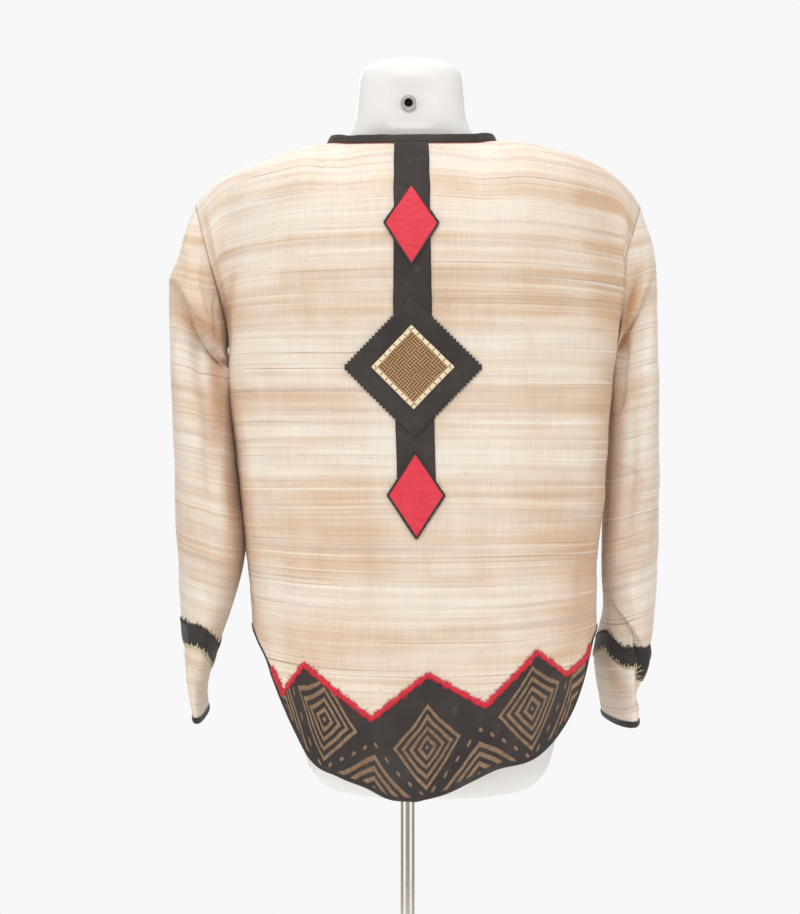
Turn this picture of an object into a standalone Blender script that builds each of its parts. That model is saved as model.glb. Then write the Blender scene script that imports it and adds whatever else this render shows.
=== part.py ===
"""A boxy, collarless jacket of slub silk, worn by a limbless dress form on a round stand.

Metres, +Z up. The origin is on the floor at the middle of the base, and the wearer faces -Y,
so the wearer's left is +X. Heights are above the floor.
"""

import math

import bmesh
import bpy
import numpy as np
from mathutils import Matrix

# Cloth walls, and the gap kept where two pieces are sewn or laid together.
WALL = 0.0014
TRIM_WALL = 0.0010
BINDING_WALL = 0.0022
CUFF_BINDING_WALL = 0.0016
SEAM_GAP = 0.0003

# Heights on the jacket.
UNDERARM_Z = 1.240
SIDE_VENT_Z = 0.900
TAIL_DROP = 0.2000
FRONT_TAIL_DROP = 0.1700
BACK_NECK_Z = 1.4785
FRONT_NECK_Z = 1.3950

# Depths of the neckline and of the shoulder seam, which runs along the top of the shoulder.
BACK_NECK_Y = 0.0640
FRONT_NECK_Y = -0.0980
SHOULDER_SEAM_Y = -0.0050

# The share of a panel's width that the neckline takes, from the centre line out, and the
# share where a front starts beside its binding.
NECK_SHARE = 0.37
FRONT_START = 0.030
EDGE_SHARE = 0.0015
BINDING_END_SHARE = 0.985

# The body's section by height. Half widths are from the centre line, depths from Y = 0.
BODY_COLUMNS = ("z", "left", "right", "tuck", "back", "front", "centre")
BODY = (
    (0.660, 0.1970, 0.2180, 0.010, 0.1495, 0.1440, -0.0080),
    (0.800, 0.1975, 0.2185, 0.010, 0.1490, 0.1435, -0.0100),
    (0.900, 0.1983, 0.2190, 0.012, 0.1470, 0.1420, -0.0100),
    (0.985, 0.2063, 0.2205, 0.013, 0.1440, 0.1400, -0.0098),
    (1.050, 0.2127, 0.2296, 0.015, 0.1405, 0.1370, -0.0094),
    (1.110, 0.2173, 0.2346, 0.016, 0.1370, 0.1340, -0.0080),
    (1.170, 0.2230, 0.2418, 0.018, 0.1330, 0.1300, -0.0060),
    (1.240, 0.2228, 0.2519, 0.019, 0.1280, 0.1250, -0.0040),
)

# How square the section is at each side of the back, and of the front: 2 would be an ellipse.
LEFT_BACK_SQUARE = 2.7
RIGHT_BACK_SQUARE = 3.6
FRONT_SQUARE = 2.5

# The right side of the back folds in behind a soft corner at this depth.
TUCK_Y = 0.060

# The shoulder line from the neck to the sleeve seam, on each side: distance from X = 0, height.
LEFT_SHOULDER = (
    (0.1000, 1.4845),
    (0.1400, 1.4733),
    (0.1640, 1.4645),
    (0.1920, 1.4570),
    (0.2150, 1.4470),
    (0.2370, 1.4342),
    (0.2510, 1.4213),
    (0.2615, 1.4095),
)
RIGHT_SHOULDER = (
    (0.1105, 1.4885),
    (0.1650, 1.4781),
    (0.1980, 1.4706),
    (0.2260, 1.4603),
    (0.2495, 1.4473),
    (0.2695, 1.4310),
    (0.2830, 1.4140),
    (0.2870, 1.4075),
)

# How far the armhole edge bows back and forward of the side, and how it leans out as it rises.
ARMHOLE_BACK_BOW = 0.047
ARMHOLE_FRONT_BOW = 0.042
ARMHOLE_LEAN = 1.3

# How a panel curves from the underarm up to its top edge. Its profile is sharper near the
# shoulder, which takes over between two shares of the width.
YOKE_EASE = 2.5
NECK_PROFILE = 2.9
SHOULDER_PROFILE = 3.4
SHOULDER_SHARE = 0.26
SHOULDER_BLEND = 0.24
SHOULDER_ROOT = 2.4
ARMHOLE_SHARE = 0.80

# The right back folds out beside its sleeve: how far, at which share, and how broad it is.
WING = 0.012
WING_SHARE = 0.87
WING_REACH = 0.075

# Hanging folds of the lower back: share across, how far out, reach as a share. They and the
# waves of the fronts fade in below a height.
BACK_FOLDS = (
    (0.30, 0.0040, 0.07),
    (0.17, -0.0042, 0.06),
    (-0.36, 0.0034, 0.08),
    (-0.56, -0.0036, 0.07),
    (0.62, 0.0032, 0.08),
)
FRONT_WAVE = 0.004
FRONT_WAVES = 9.0
FOLDS_TOP_Z = 1.22
FOLDS_FADE = 0.35

# The shirt-tail hem: share of the panel's width from the centre, share of the full drop.
LEFT_HEM = (
    (0.00, 0.985),
    (0.11, 0.968),
    (0.19, 0.909),
    (0.30, 0.842),
    (0.42, 0.745),
    (0.48, 0.602),
    (0.56, 0.397),
    (0.64, 0.210),
    (0.73, 0.101),
    (0.91, 0.018),
    (1.00, 0.000),
)
RIGHT_HEM = (
    (0.00, 0.985),
    (0.11, 0.937),
    (0.20, 0.867),
    (0.28, 0.804),
    (0.45, 0.717),
    (0.52, 0.613),
    (0.58, 0.484),
    (0.63, 0.340),
    (0.70, 0.125),
    (0.80, 0.030),
    (1.00, 0.000),
)

# Sleeve rings from below the seam to the cuff. "down" is the distance along the back of the
# sleeve; "out" and "in" are its outer and inner edges; "depth" is half its size front to back.
RING_COLUMNS = ("down", "out_x", "out_z", "in_x", "in_z", "mid_y", "depth", "twist")
LEFT_RINGS = (
    (0.030, 0.2728, 1.3755, 0.2220, 1.2290, 0.002, 0.056, 0.0),
    (0.060, 0.2812, 1.3450, 0.2216, 1.2180, 0.002, 0.066, 0.0),
    (0.085, 0.2918, 1.3165, 0.2213, 1.2080, 0.000, 0.074, 0.0),
    (0.098, 0.2922, 1.3000, 0.2209, 1.2000, 0.000, 0.076, 0.0),
    (0.140, 0.2915, 1.2550, 0.2196, 1.1750, 0.000, 0.081, 0.0),
    (0.200, 0.2895, 1.1900, 0.2152, 1.1350, 0.000, 0.084, 0.0),
    (0.280, 0.2862, 1.1000, 0.2084, 1.0700, 0.000, 0.086, 0.0),
    (0.370, 0.2828, 1.0000, 0.2014, 0.9850, 0.000, 0.086, 0.0),
    (0.440, 0.2785, 0.9250, 0.2145, 0.9200, 0.000, 0.085, 0.0),
    (0.485, 0.2752, 0.8800, 0.2300, 0.8760, 0.000, 0.084, 0.0),
    (0.525, 0.2702, 0.8400, 0.2425, 0.8380, 0.000, 0.083, 0.0),
    (0.555, 0.2638, 0.8120, 0.2495, 0.8100, 0.000, 0.081, 0.0),
    (0.580, 0.2590, 0.7870, 0.2488, 0.7850, 0.000, 0.079, 0.0),
)
RIGHT_RINGS = (
    (0.030, -0.2980, 1.3755, -0.2430, 1.2240, -0.014, 0.052, 0.0),
    (0.058, -0.3052, 1.3460, -0.2440, 1.2130, -0.017, 0.061, 0.0),
    (0.076, -0.3070, 1.3250, -0.2446, 1.2040, -0.018, 0.067, 0.0),
    (0.110, -0.3078, 1.2950, -0.2450, 1.1850, -0.020, 0.075, 0.0),
    (0.170, -0.3088, 1.2350, -0.2455, 1.1500, -0.020, 0.082, 0.0),
    (0.240, -0.3098, 1.1700, -0.2445, 1.1050, -0.020, 0.084, 0.0),
    (0.330, -0.3090, 1.0700, -0.2415, 1.0400, -0.020, 0.085, 0.0),
    (0.425, -0.3048, 0.9700, -0.2400, 0.9550, -0.018, 0.085, 0.0),
    (0.475, -0.3010, 0.9190, -0.2430, 0.9100, -0.014, 0.084, 4.0),
    (0.540, -0.2922, 0.8540, -0.2330, 0.8530, -0.010, 0.082, 11.0),
    (0.580, -0.2840, 0.8165, -0.2392, 0.8140, -0.008, 0.080, 11.0),
    (0.615, -0.2790, 0.7800, -0.2455, 0.7800, -0.006, 0.078, 8.0),
)

# Where each sleeve breaks over itself below the cap, and how deep the hollow under it is.
LEFT_BREAK = 0.085
RIGHT_BREAK = 0.060
BREAK_HOLLOW = 0.16
BREAK_LENGTH = 0.080
BREAK_EDGE = 0.014
BREAK_SWELL = 0.05
BREAK_SWELL_REACH = 0.022

# Lengthwise folds of the sleeves: how far out, waves round the sleeve, waves along it, and how
# the two sleeves differ.
SLEEVE_FOLDS = ((0.0028, 2.0, 5.0, 1.0), (0.0018, 3.0, -9.0, 0.0))
SLEEVE_FOLDS_TOP = 0.10
SLEEVE_FOLDS_FADE = 0.12
SLEEVE_FOLDS_END = 0.46
SLEEVE_FOLDS_END_FADE = 0.10
SLEEVE_FOLDS_KEPT = 0.2

# How far the sleeve's first ring stands off the armhole: everywhere, and under the arm too.
ARMHOLE_GAP = 0.0010
UNDERARM_GAP = 0.0016
ARMHOLE_DROP = 0.0008

# How blunt a sleeve's section is: fully so from this half thickness up.
BLUNT_FROM = 0.033

# Trims.
NECK_BINDING = 0.0100
NECK_LEAN = 0.35
NECK_GAP = 0.0010
HEM_BINDING = 0.0042
CUFF_BAND = 0.0260
CUFF_BAND_SLANT = 0.016
CUFF_BAND_SLANT_REACH = 0.06
TRIM_CLEAR = 0.0004
CUFF_BAND_CLEAR = 0.0005
LEFT_CUFF_BAND_AT = 0.464
RIGHT_CUFF_BAND_AT = 0.522
STRIP_HALF_WIDTH = 0.0225
STRIP_LOW_T = 0.640
STRIP_HIGH_T = 1.990
MEDALLION_AT = -0.035
MEDALLION_SIDE = 0.1180
PATCH_SIDE = 0.0700
LOZENGES = ((0.135, 0.034, 0.050, 0.0009), (-0.185, 0.034, 0.050, 0.0002))

# The printed hem band starts just above the panel's edge and is never lower than this. Its
# upper edge is a zigzag: share across the back, height.
BAND_FOOT = 0.001
BAND_LEAST = 0.007
BAND_ROWS = (0.0, 0.35, 0.7, 1.0)
ZIGZAG = (
    (-0.69, 0.8690),
    (-0.56, 0.8441),
    (-0.44, 0.8722),
    (-0.25, 0.8102),
    (-0.04, 0.8463),
    (0.18, 0.7939),
    (0.45, 0.8578),
    (0.55, 0.8213),
    (0.61, 0.8420),
)

# The dress form: ring height, how far the ring droops at its sides, centre X, half width,
# half depths behind and in front, and how square the ring is, where 2 is an ellipse.
FORM_COLUMNS = ("z", "droop", "centre", "width", "back", "front", "square")
FORM = (
    (0.6890, 0.000, -0.0260, 0.0950, 0.068, 0.068, 2.2),
    (0.6960, 0.000, -0.0260, 0.1280, 0.096, 0.092, 2.2),
    (0.7200, 0.000, -0.0260, 0.1480, 0.114, 0.106, 2.2),
    (0.7800, 0.000, -0.0240, 0.1630, 0.122, 0.112, 2.2),
    (0.8500, 0.000, -0.0220, 0.1680, 0.122, 0.112, 2.2),
    (0.9300, 0.000, -0.0180, 0.1620, 0.112, 0.108, 2.2),
    (1.0200, 0.000, -0.0140, 0.1460, 0.098, 0.102, 2.2),
    (1.0900, 0.000, -0.0120, 0.1420, 0.094, 0.100, 2.2),
    (1.1700, 0.000, -0.0100, 0.1530, 0.100, 0.106, 2.2),
    (1.2500, 0.000, -0.0080, 0.1670, 0.108, 0.112, 2.2),
    (1.3300, 0.002, -0.0080, 0.1740, 0.102, 0.100, 2.2),
    (1.3950, 0.010, -0.0060, 0.1750, 0.088, 0.082, 2.1),
    (1.4300, 0.012, -0.0050, 0.1735, 0.073, 0.064, 1.9),
    (1.4555, 0.008, -0.0050, 0.1680, 0.062, 0.052, 1.8),
    (1.4698, 0.0040, -0.0050, 0.1600, 0.053, 0.043, 1.7),
    (1.4768, 0.0078, -0.0050, 0.1440, 0.044, 0.035, 1.6),
    (1.4828, 0.0125, -0.0050, 0.1180, 0.038, 0.028, 1.5),
    (1.4890, 0.0130, -0.0045, 0.0920, 0.041, 0.029, 1.4),
    (1.4990, 0.002, -0.0040, 0.0760, 0.044, 0.042, 2.0),
    (1.5160, 0.000, -0.0040, 0.0665, 0.045, 0.044, 2.2),
    (1.5600, 0.000, -0.0040, 0.0635, 0.046, 0.046, 2.2),
    (1.5750, 0.000, -0.0040, 0.0600, 0.043, 0.043, 2.2),
    (1.5840, 0.000, -0.0040, 0.0480, 0.034, 0.034, 2.2),
    (1.5875, 0.000, -0.0040, 0.0280, 0.020, 0.020, 2.2),
)

# The flat seat cut into the back of the neck, and the metal socket in it.
SEAT_WIDTH = 0.074
SEAT_HEIGHT = 0.052
SEAT_Z = 1.5290
SEAT_X = -0.011
SEAT_Y = 0.0405
SEAT_CUT = 0.03
SOCKET_X = -0.001
SOCKET_RADIUS = 0.0095
SOCKET_BORE = 0.0052
SOCKET_LENGTH = 0.0045
SOCKET_FLOOR = 0.0015

# The stand.
POLE_RADIUS = 0.0085
BASE_RADIUS = 0.180
BASE_THICKNESS = 0.012
BASE_EDGE = 0.003
COLLAR_RADIUS = 0.020
COLLAR_HEIGHT = 0.034
COLLAR_EDGE = 0.004

# How long the back's cloth is from the underarm to the neck, up the centre.
COLUMN_LENGTH = 0.251

# How finely the panels are faceted.
BACK_NECK_COLUMNS = 5
BACK_SHOULDER_COLUMNS = 9
FRONT_NECK_COLUMNS = 5
FRONT_SHOULDER_COLUMNS = 5
LOWER_ROWS = 12
UPPER_ROWS = 8
SLEEVE_SIDES = 20
FORM_SIDES = 24
SLEEVE_EXTRA_DOWNS = (0.0, 0.015, 0.24, 0.325)
BREAK_DOWNS = (0.012, 0.026)
LEAST_ROW_STEP = 0.008
STRIP_ROW_STEP = 0.02
SOCKET_SIDES = 20
POLE_SIDES = 20
BASE_SIDES = 40
PROFILE_STEPS = 48

# How far apart the points are that a slope is taken from.
SHARE_STEP = 0.004
EDGE_STEP = 0.01
TURN_STEP = 0.02
DOWN_STEP = 0.004

LEFT = 1
RIGHT = -1


def through(value, stations, heights):
    """A smooth curve through the stations, level with the end ones beyond them."""
    stations = np.asarray(stations, dtype=float)
    heights = np.asarray(heights, dtype=float)
    slopes = np.gradient(heights, stations)
    value = np.clip(np.asarray(value, dtype=float), stations[0], stations[-1])
    place = np.clip(np.searchsorted(stations, value) - 1, 0, len(stations) - 2)
    step = stations[place + 1] - stations[place]
    share = (value - stations[place]) / step
    low = 2 * share**3 - 3 * share**2 + 1
    low_slope = share**3 - 2 * share**2 + share
    high_slope = share**3 - share**2
    return (
        low * heights[place]
        + low_slope * step * slopes[place]
        + (1 - low) * heights[place + 1]
        + high_slope * step * slopes[place + 1]
    )


def column(table, names, name):
    return [row[names.index(name)] for row in table]


def body_size(name, z):
    return float(through(z, column(BODY, BODY_COLUMNS, "z"), column(BODY, BODY_COLUMNS, name)))


def ease(share):
    """0 up to 0, 1 from 1 on, and a soft rise between."""
    share = min(max(share, 0.0), 1.0)
    return share * share * (3 - 2 * share)


def hump(value, centre, reach):
    return math.exp(-(((value - centre) / reach) ** 2))


def by_arc(points, share):
    """The point at this share of the way along a run of points."""
    steps = np.linalg.norm(np.diff(points, axis=0), axis=1)
    arc = np.concatenate([[0.0], np.cumsum(steps)])
    place = share * arc[-1]
    return np.array([np.interp(place, arc, points[:, axis]) for axis in range(points.shape[1])])


def section(share, z, side, face):
    """X and Y of the body at this share of the way round from the centre line to the side."""
    turn = np.linspace(0, math.pi / 2, PROFILE_STEPS)
    width = body_size("left" if side == LEFT else "right", z)
    tuck = body_size("tuck", z) if side == RIGHT else 0.0
    if face == "back":
        square = LEFT_BACK_SQUARE if side == LEFT else RIGHT_BACK_SQUARE
    else:
        square = FRONT_SQUARE
        width -= tuck
    across = width * np.sin(turn) ** (2 / square)
    depth = body_size(face, z) * np.cos(turn) ** (2 / square)
    if face == "back" and side == RIGHT:
        behind = np.clip(1 - depth / TUCK_Y, 0, 1)
        across = across - tuck * behind**1.5
    if face == "front":
        depth = -depth
    x, y = by_arc(np.column_stack([across, depth]), share)
    return body_size("centre", z) + side * x, y


def hem_height(share, side, face):
    table = LEFT_HEM if side == LEFT else RIGHT_HEM
    drop = TAIL_DROP if face == "back" else FRONT_TAIL_DROP
    stations = [row[0] for row in table]
    drops = [row[1] for row in table]
    return SIDE_VENT_Z - drop * float(through(share, stations, drops))


def shoulder_line(side):
    return LEFT_SHOULDER if side == LEFT else RIGHT_SHOULDER


def top_edge(share, side, face):
    """The panel's upper edge: the neckline, then the shoulder seam out to the sleeve."""
    line = shoulder_line(side)
    corner = line[0][0]
    end = line[-1][0]
    seam_y = SHOULDER_SEAM_Y + (SEAM_GAP if face == "back" else -SEAM_GAP)
    if share >= NECK_SHARE:
        x = corner + (end - corner) * (share - NECK_SHARE) / (1 - NECK_SHARE)
        z = float(through(x, [row[0] for row in line], [row[1] for row in line]))
        return np.array([side * x, seam_y, z])
    inward = share / NECK_SHARE
    middle = body_size("centre", UNDERARM_Z)
    x = middle + (side * corner - middle) * inward
    rise = math.sqrt(1 - inward**2.2)
    neck_y = BACK_NECK_Y if face == "back" else FRONT_NECK_Y
    neck_z = BACK_NECK_Z if face == "back" else FRONT_NECK_Z
    corner_z = line[0][1]
    fall = rise if face == "back" else rise**1.8
    return np.array([x, seam_y + (neck_y - seam_y) * rise, corner_z + (neck_z - corner_z) * fall])


def folds(share, side, face, z):
    """How far the lower body stands out from its section, in soft hanging folds."""
    fade = ease((FOLDS_TOP_Z - z) / FOLDS_FADE)
    if face == "front":
        wave = math.sin(FRONT_WAVES * share + 0.8 * side + 3.0 * z)
        return fade * math.sin(math.pi * share) * FRONT_WAVE * wave
    return fade * sum(out * hump(side * share, centre, reach) for centre, out, reach in BACK_FOLDS)


def panel_point(share, t, side, face):
    """A point on the jacket's body. t runs from 0 at the hem to 1 at the underarm and 2 at the top."""
    if t <= 1:
        hem = hem_height(share, side, face)
        z = hem + (UNDERARM_Z - hem) * t
        x, y = section(share, z, side, face)
        outward = folds(share, side, face, z)
        return np.array([x, y + (outward if face == "back" else -outward), z])
    start_x, start_y = section(share, UNDERARM_Z, side, face)
    end = top_edge(share, side, face)
    toward_seam = ease((share - SHOULDER_SHARE) / SHOULDER_BLEND)
    power = NECK_PROFILE + (SHOULDER_PROFILE - NECK_PROFILE) * toward_seam
    root = 1.0 + SHOULDER_ROOT * toward_seam
    rise = 1 - (1 - np.linspace(0, 1, PROFILE_STEPS)) ** YOKE_EASE
    lean = rise**ARMHOLE_LEAN
    x = start_x + (end[0] - start_x) * lean
    y = end[1] + (start_y - end[1]) * (1 - rise**power) ** (1 / root)
    z = UNDERARM_Z + (end[2] - UNDERARM_Z) * rise
    bow = np.sin(math.pi * rise**1.15) * ease((share - ARMHOLE_SHARE) / (1 - ARMHOLE_SHARE))
    y = y + (ARMHOLE_BACK_BOW * bow if face == "back" else -ARMHOLE_FRONT_BOW * bow)
    if side == RIGHT and face == "back":
        x = x - WING * np.sin(math.pi * rise**0.9) * hump(share, WING_SHARE, WING_REACH)
    return by_arc(np.column_stack([x, y, z]), t - 1)


def panel_normal(share, t, side, face):
    """Which way is out of the cloth at this point of the body."""
    near = max(share - SHARE_STEP, 0.0)
    far = min(share + SHARE_STEP, 1.0)
    low = max(t - SHARE_STEP, 0.0)
    high = min(t + SHARE_STEP, 2.0)
    across = panel_point(far, t, side, face) - panel_point(near, t, side, face)
    up = panel_point(share, high, side, face) - panel_point(share, low, side, face)
    out = np.cross(across, up) * side * (-1 if face == "back" else 1)
    out = out if (out[1] > 0) == (face == "back") or abs(out[1]) < 1e-9 else -out
    return out / np.linalg.norm(out)


def new_material(name, colour, roughness, metallic=0.0):
    material = bpy.data.materials.new(name)
    material.use_nodes = True
    shader = material.node_tree.nodes["Principled BSDF"]
    shader.inputs["Base Color"].default_value = (*colour, 1.0)
    shader.inputs["Roughness"].default_value = roughness
    shader.inputs["Metallic"].default_value = metallic
    material.diffuse_color = (*colour, 1.0)
    return material


def new_object(name, points, faces, material, collection):
    mesh = bpy.data.meshes.new(name)
    mesh.from_pydata([tuple(point) for point in points], [], faces)
    mesh.materials.append(material)
    mesh.validate()
    obj = bpy.data.objects.new(name, mesh)
    collection.objects.link(obj)
    return obj


def grid_faces(rows, columns, closed):
    faces = []
    for row in range(rows - 1):
        for place in range(columns if closed else columns - 1):
            after = (place + 1) % columns
            faces.append(
                (
                    row * columns + place,
                    row * columns + after,
                    (row + 1) * columns + after,
                    (row + 1) * columns + place,
                )
            )
    return faces


def cloth(name, rows, wall, material, collection, closed=False):
    """A cloth wall with its middle on these rows of points."""
    rows = np.asarray(rows, dtype=float)
    faces = grid_faces(rows.shape[0], rows.shape[1], closed)
    obj = new_object(name, rows.reshape(-1, 3), faces, material, collection)
    solidify = obj.modifiers.new("Wall", "SOLIDIFY")
    solidify.thickness = wall
    solidify.offset = 0.0
    for polygon in obj.data.polygons:
        polygon.use_smooth = True
    return obj


def armhole(turn, side):
    """The sleeve seam, from 0 at the top of the shoulder round the back to the underarm and on."""
    share = turn / math.pi
    face = "back" if share <= 1 else "front"
    t = 2 - share if share <= 1 else share
    return panel_point(1.0, t, side, face)


def sleeve_rings(side):
    return LEFT_RINGS if side == LEFT else RIGHT_RINGS


def sleeve_ring(row, turn):
    """A point on one sleeve ring. The turn runs from the outer edge round the back."""
    ring = dict(zip(RING_COLUMNS, row))
    out_x, out_z, in_x, in_z = ring["out_x"], ring["out_z"], ring["in_x"], ring["in_z"]
    mid_y, depth, twist = ring["mid_y"], ring["depth"], ring["twist"]
    twist = math.radians(twist) * math.copysign(1, out_x)
    reach = abs(out_x - in_x) / 2
    thin = math.sqrt(reach**2 - (depth * math.sin(twist)) ** 2) / math.cos(twist)
    blunt = 0.5 + 0.5 * min(thin / BLUNT_FROM, 1.0)
    across = math.copysign(thin * abs(math.cos(turn)) ** blunt, math.cos(turn) * out_x)
    along = depth * math.sin(turn)
    x = (out_x + in_x) / 2 + across * math.cos(twist) + along * math.sin(twist)
    y = mid_y + along * math.cos(twist) - across * math.sin(twist)
    z = (out_z + in_z) / 2 + (out_z - in_z) / 2 * math.cos(turn)
    return np.array([x, y, z])


def sleeve_hollow(down, turn, side):
    """How far the sleeve sinks under the break below its cap, as a share of its size."""
    start = LEFT_BREAK if side == LEFT else RIGHT_BREAK
    past = down - start
    if past <= 0:
        return -BREAK_SWELL * hump(past, 0.0, BREAK_SWELL_REACH) * abs(math.sin(turn))
    under = ease(past / BREAK_EDGE) * math.exp(-((past / BREAK_LENGTH) ** 2))
    swell = BREAK_SWELL * hump(past, 0.0, BREAK_SWELL_REACH / 4)
    return (BREAK_HOLLOW * under - swell) * abs(math.sin(turn)) ** 1.5


def sleeve_folds(down, turn, side):
    """Soft lengthwise folds, in metres out from the sleeve's rings, flat next to the body."""
    fade = ease((down - SLEEVE_FOLDS_TOP) / SLEEVE_FOLDS_FADE)
    fade *= 1 - (1 - SLEEVE_FOLDS_KEPT) * ease((down - SLEEVE_FOLDS_END) / SLEEVE_FOLDS_END_FADE)
    fade *= 1 - ((1 - math.cos(turn)) / 2) ** 3
    wave = 0.0
    for out, turns, lengths, phase in SLEEVE_FOLDS:
        wave += out * math.sin(turns * turn + lengths * down + phase * side)
    return fade * wave


def sleeve_point(down, turn, side):
    """A point on the middle of the sleeve's cloth."""
    rings = sleeve_rings(side)
    seam = armhole(turn, side)
    under = ease((abs(turn / math.pi - 1) - 0.75) / -0.45)
    gap = side * (ARMHOLE_GAP + UNDERARM_GAP * under)
    start = seam + np.array([gap, 0.0, -ARMHOLE_DROP * (1 - under)])
    stations = [0.0] + [row[0] for row in rings]
    track = np.array([start] + [sleeve_ring(row, turn) for row in rings])
    point = np.array([float(through(down, stations, track[:, axis])) for axis in range(3)])
    middles = [0.5 * (start[0] + track[1][0])] + [0.5 * (row[1] + row[3]) for row in rings]
    middle_x = float(through(down, stations, middles))
    middle_y = float(through(down, stations, [0.0] + [row[5] for row in rings]))
    sink = sleeve_hollow(down, turn, side)
    spoke = point[:2] - np.array([middle_x, middle_y])
    length = max(float(np.linalg.norm(spoke)), 1e-6)
    point[1] -= sink * (point[1] - middle_y)
    point[:2] += spoke / length * sleeve_folds(down, turn, side)
    return point


def sleeve_normal(down, turn, side):
    last = sleeve_rings(side)[-1][0]
    high = max(down - DOWN_STEP, 0.0)
    low = min(down + DOWN_STEP, last)
    across = sleeve_point(down, turn + TURN_STEP, side) - sleeve_point(down, turn - TURN_STEP, side)
    along = sleeve_point(low, turn, side) - sleeve_point(high, turn, side)
    out = np.cross(along, across) * side
    return out / np.linalg.norm(out)


def signed_panel(place, t, face="back"):
    side = LEFT if place >= 0 else RIGHT
    return panel_point(abs(place), t, side, face)


def signed_normal(place, t, face="back"):
    side = LEFT if place >= 0 else RIGHT
    return panel_normal(abs(place), t, side, face)


def lifted(place, t, lift, face="back"):
    return signed_panel(place, t, face) + lift * signed_normal(place, t, face)


def half_girth(side):
    """How long the section is from the centre back to the side, on average below the underarm."""
    turns = np.linspace(0, 1, PROFILE_STEPS)
    track = np.array([section(turn, 1.15, side, "back") for turn in turns])
    return float(np.linalg.norm(np.diff(track, axis=0), axis=1).sum())


def on_back(across, up, lift):
    """The point this far across from the centre back and up from the underarm, off the cloth."""
    side = LEFT if across >= 0 else RIGHT
    share = abs(across) / half_girth(side)
    if up <= 0:
        t = 1 + up / (UNDERARM_Z - hem_height(share, side, "back"))
    else:
        t = 1 + up / COLUMN_LENGTH
    return lifted(side * share, t, lift)


def off_edge(place, t, face, low_share, high_share):
    """The way off the panel's lower or upper edge, along the cloth and square to the edge."""
    edge = signed_panel(place, t, face)
    side = 1 if place >= 0 else -1
    near = signed_panel(side * max(abs(place) - EDGE_STEP, low_share), t, face)
    far = signed_panel(side * min(abs(place) + EDGE_STEP, high_share), t, face)
    inside = signed_panel(place, min(max(t, 0.04), 1.96), face)
    along = far - near
    along /= np.linalg.norm(along)
    way = edge - inside
    way -= along * float(np.dot(way, along))
    return way / np.linalg.norm(way)


def hem_rows(places, face):
    """The hem binding: rows square to the panel's lower edge, below it."""
    rows = [[], []]
    for place in places:
        place = max(min(place, BINDING_END_SHARE), -BINDING_END_SHARE)
        edge = signed_panel(place, 0.0, face)
        way = off_edge(place, 0.0, face, 0.0, 1.0)
        rows[0].append(edge + way * 1.5 * SEAM_GAP)
        rows[1].append(edge + way * (1.5 * SEAM_GAP + HEM_BINDING))
    return rows


def half_shares(start, neck_columns, shoulder_columns):
    """Where the columns of half a panel lie, with one of them at the corner of the neckline."""
    steps = [1 - (1 - place / neck_columns) ** 1.35 for place in range(neck_columns)]
    neck = [start + (NECK_SHARE - start) * step for step in steps]
    rest = 1 - NECK_SHARE
    return neck + [NECK_SHARE + rest * place / shoulder_columns for place in range(shoulder_columns + 1)]


def back_shares():
    half = half_shares(0.0, BACK_NECK_COLUMNS, BACK_SHOULDER_COLUMNS)
    return [-share for share in half[:0:-1]] + half


def front_shares():
    return half_shares(FRONT_START, FRONT_NECK_COLUMNS, FRONT_SHOULDER_COLUMNS)


def panel_rows():
    lower = [row / LOWER_ROWS for row in range(LOWER_ROWS + 1)]
    return lower + [1 + (row + 1) / UPPER_ROWS for row in range(UPPER_ROWS)]


def build_panels(materials, collection):
    rows = [[signed_panel(place, t) for place in back_shares()] for t in panel_rows()]
    cloth("back", shifted(rows, SEAM_GAP), WALL, materials["silk"], collection)
    for name, side in (("front_left", LEFT), ("front_right", RIGHT)):
        rows = [[panel_point(share, t, side, "front") for share in front_shares()] for t in panel_rows()]
        cloth(name, shifted(rows, -SEAM_GAP), WALL, materials["silk"], collection)


def shifted(rows, distance):
    """The rows moved along Y, to leave the gap of a side seam."""
    return [[point + np.array([0.0, distance, 0.0]) for point in row] for row in rows]


def build_sleeves(materials, collection):
    turns = [2 * math.pi * place / SLEEVE_SIDES for place in range(SLEEVE_SIDES)]
    for name, side, start in (("left", LEFT, LEFT_BREAK), ("right", RIGHT, RIGHT_BREAK)):
        rings = sleeve_rings(side)
        last = rings[-1][0]
        band_at = LEFT_CUFF_BAND_AT if side == LEFT else RIGHT_CUFF_BAND_AT
        band_rows = [band_at, band_at + CUFF_BAND / 2, band_at + CUFF_BAND]
        downs = [row[0] for row in rings if abs(row[0] - band_rows[1]) > 0.7 * CUFF_BAND]
        downs += [start + below for below in BREAK_DOWNS]
        downs = sorted(downs + list(SLEEVE_EXTRA_DOWNS) + band_rows)
        kept = [downs[0]]
        for down in downs[1:]:
            if down - kept[-1] > LEAST_ROW_STEP:
                kept.append(down)
        kept[-1] = last
        rows = [[sleeve_point(slanted(down, turn, side), turn, side) for turn in turns] for down in kept]
        cloth("sleeve_" + name, rows, WALL, materials["silk"], collection, closed=True)
        binding = []
        for reach in (3 * SEAM_GAP, 2 * SEAM_GAP + HEM_BINDING):
            ring = []
            for turn in turns:
                edge = sleeve_point(last, turn, side)
                way = edge - sleeve_point(last - DOWN_STEP, turn, side)
                way /= np.linalg.norm(way)
                ring.append(edge + way * reach)
            binding.append(ring)
        black = materials["binding"]
        cloth("cuff_binding_" + name, binding, CUFF_BINDING_WALL, black, collection, closed=True)
        lift = WALL / 2 + CUFF_BAND_CLEAR + TRIM_WALL / 2
        band = []
        for row in band_rows:
            ring = []
            for turn in turns:
                down = slanted(row, turn, side)
                ring.append(sleeve_point(down, turn, side) + lift * sleeve_normal(down, turn, side))
            band.append(ring)
        cloth("cuff_band_" + name, band, TRIM_WALL, materials["black"], collection, closed=True)


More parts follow.
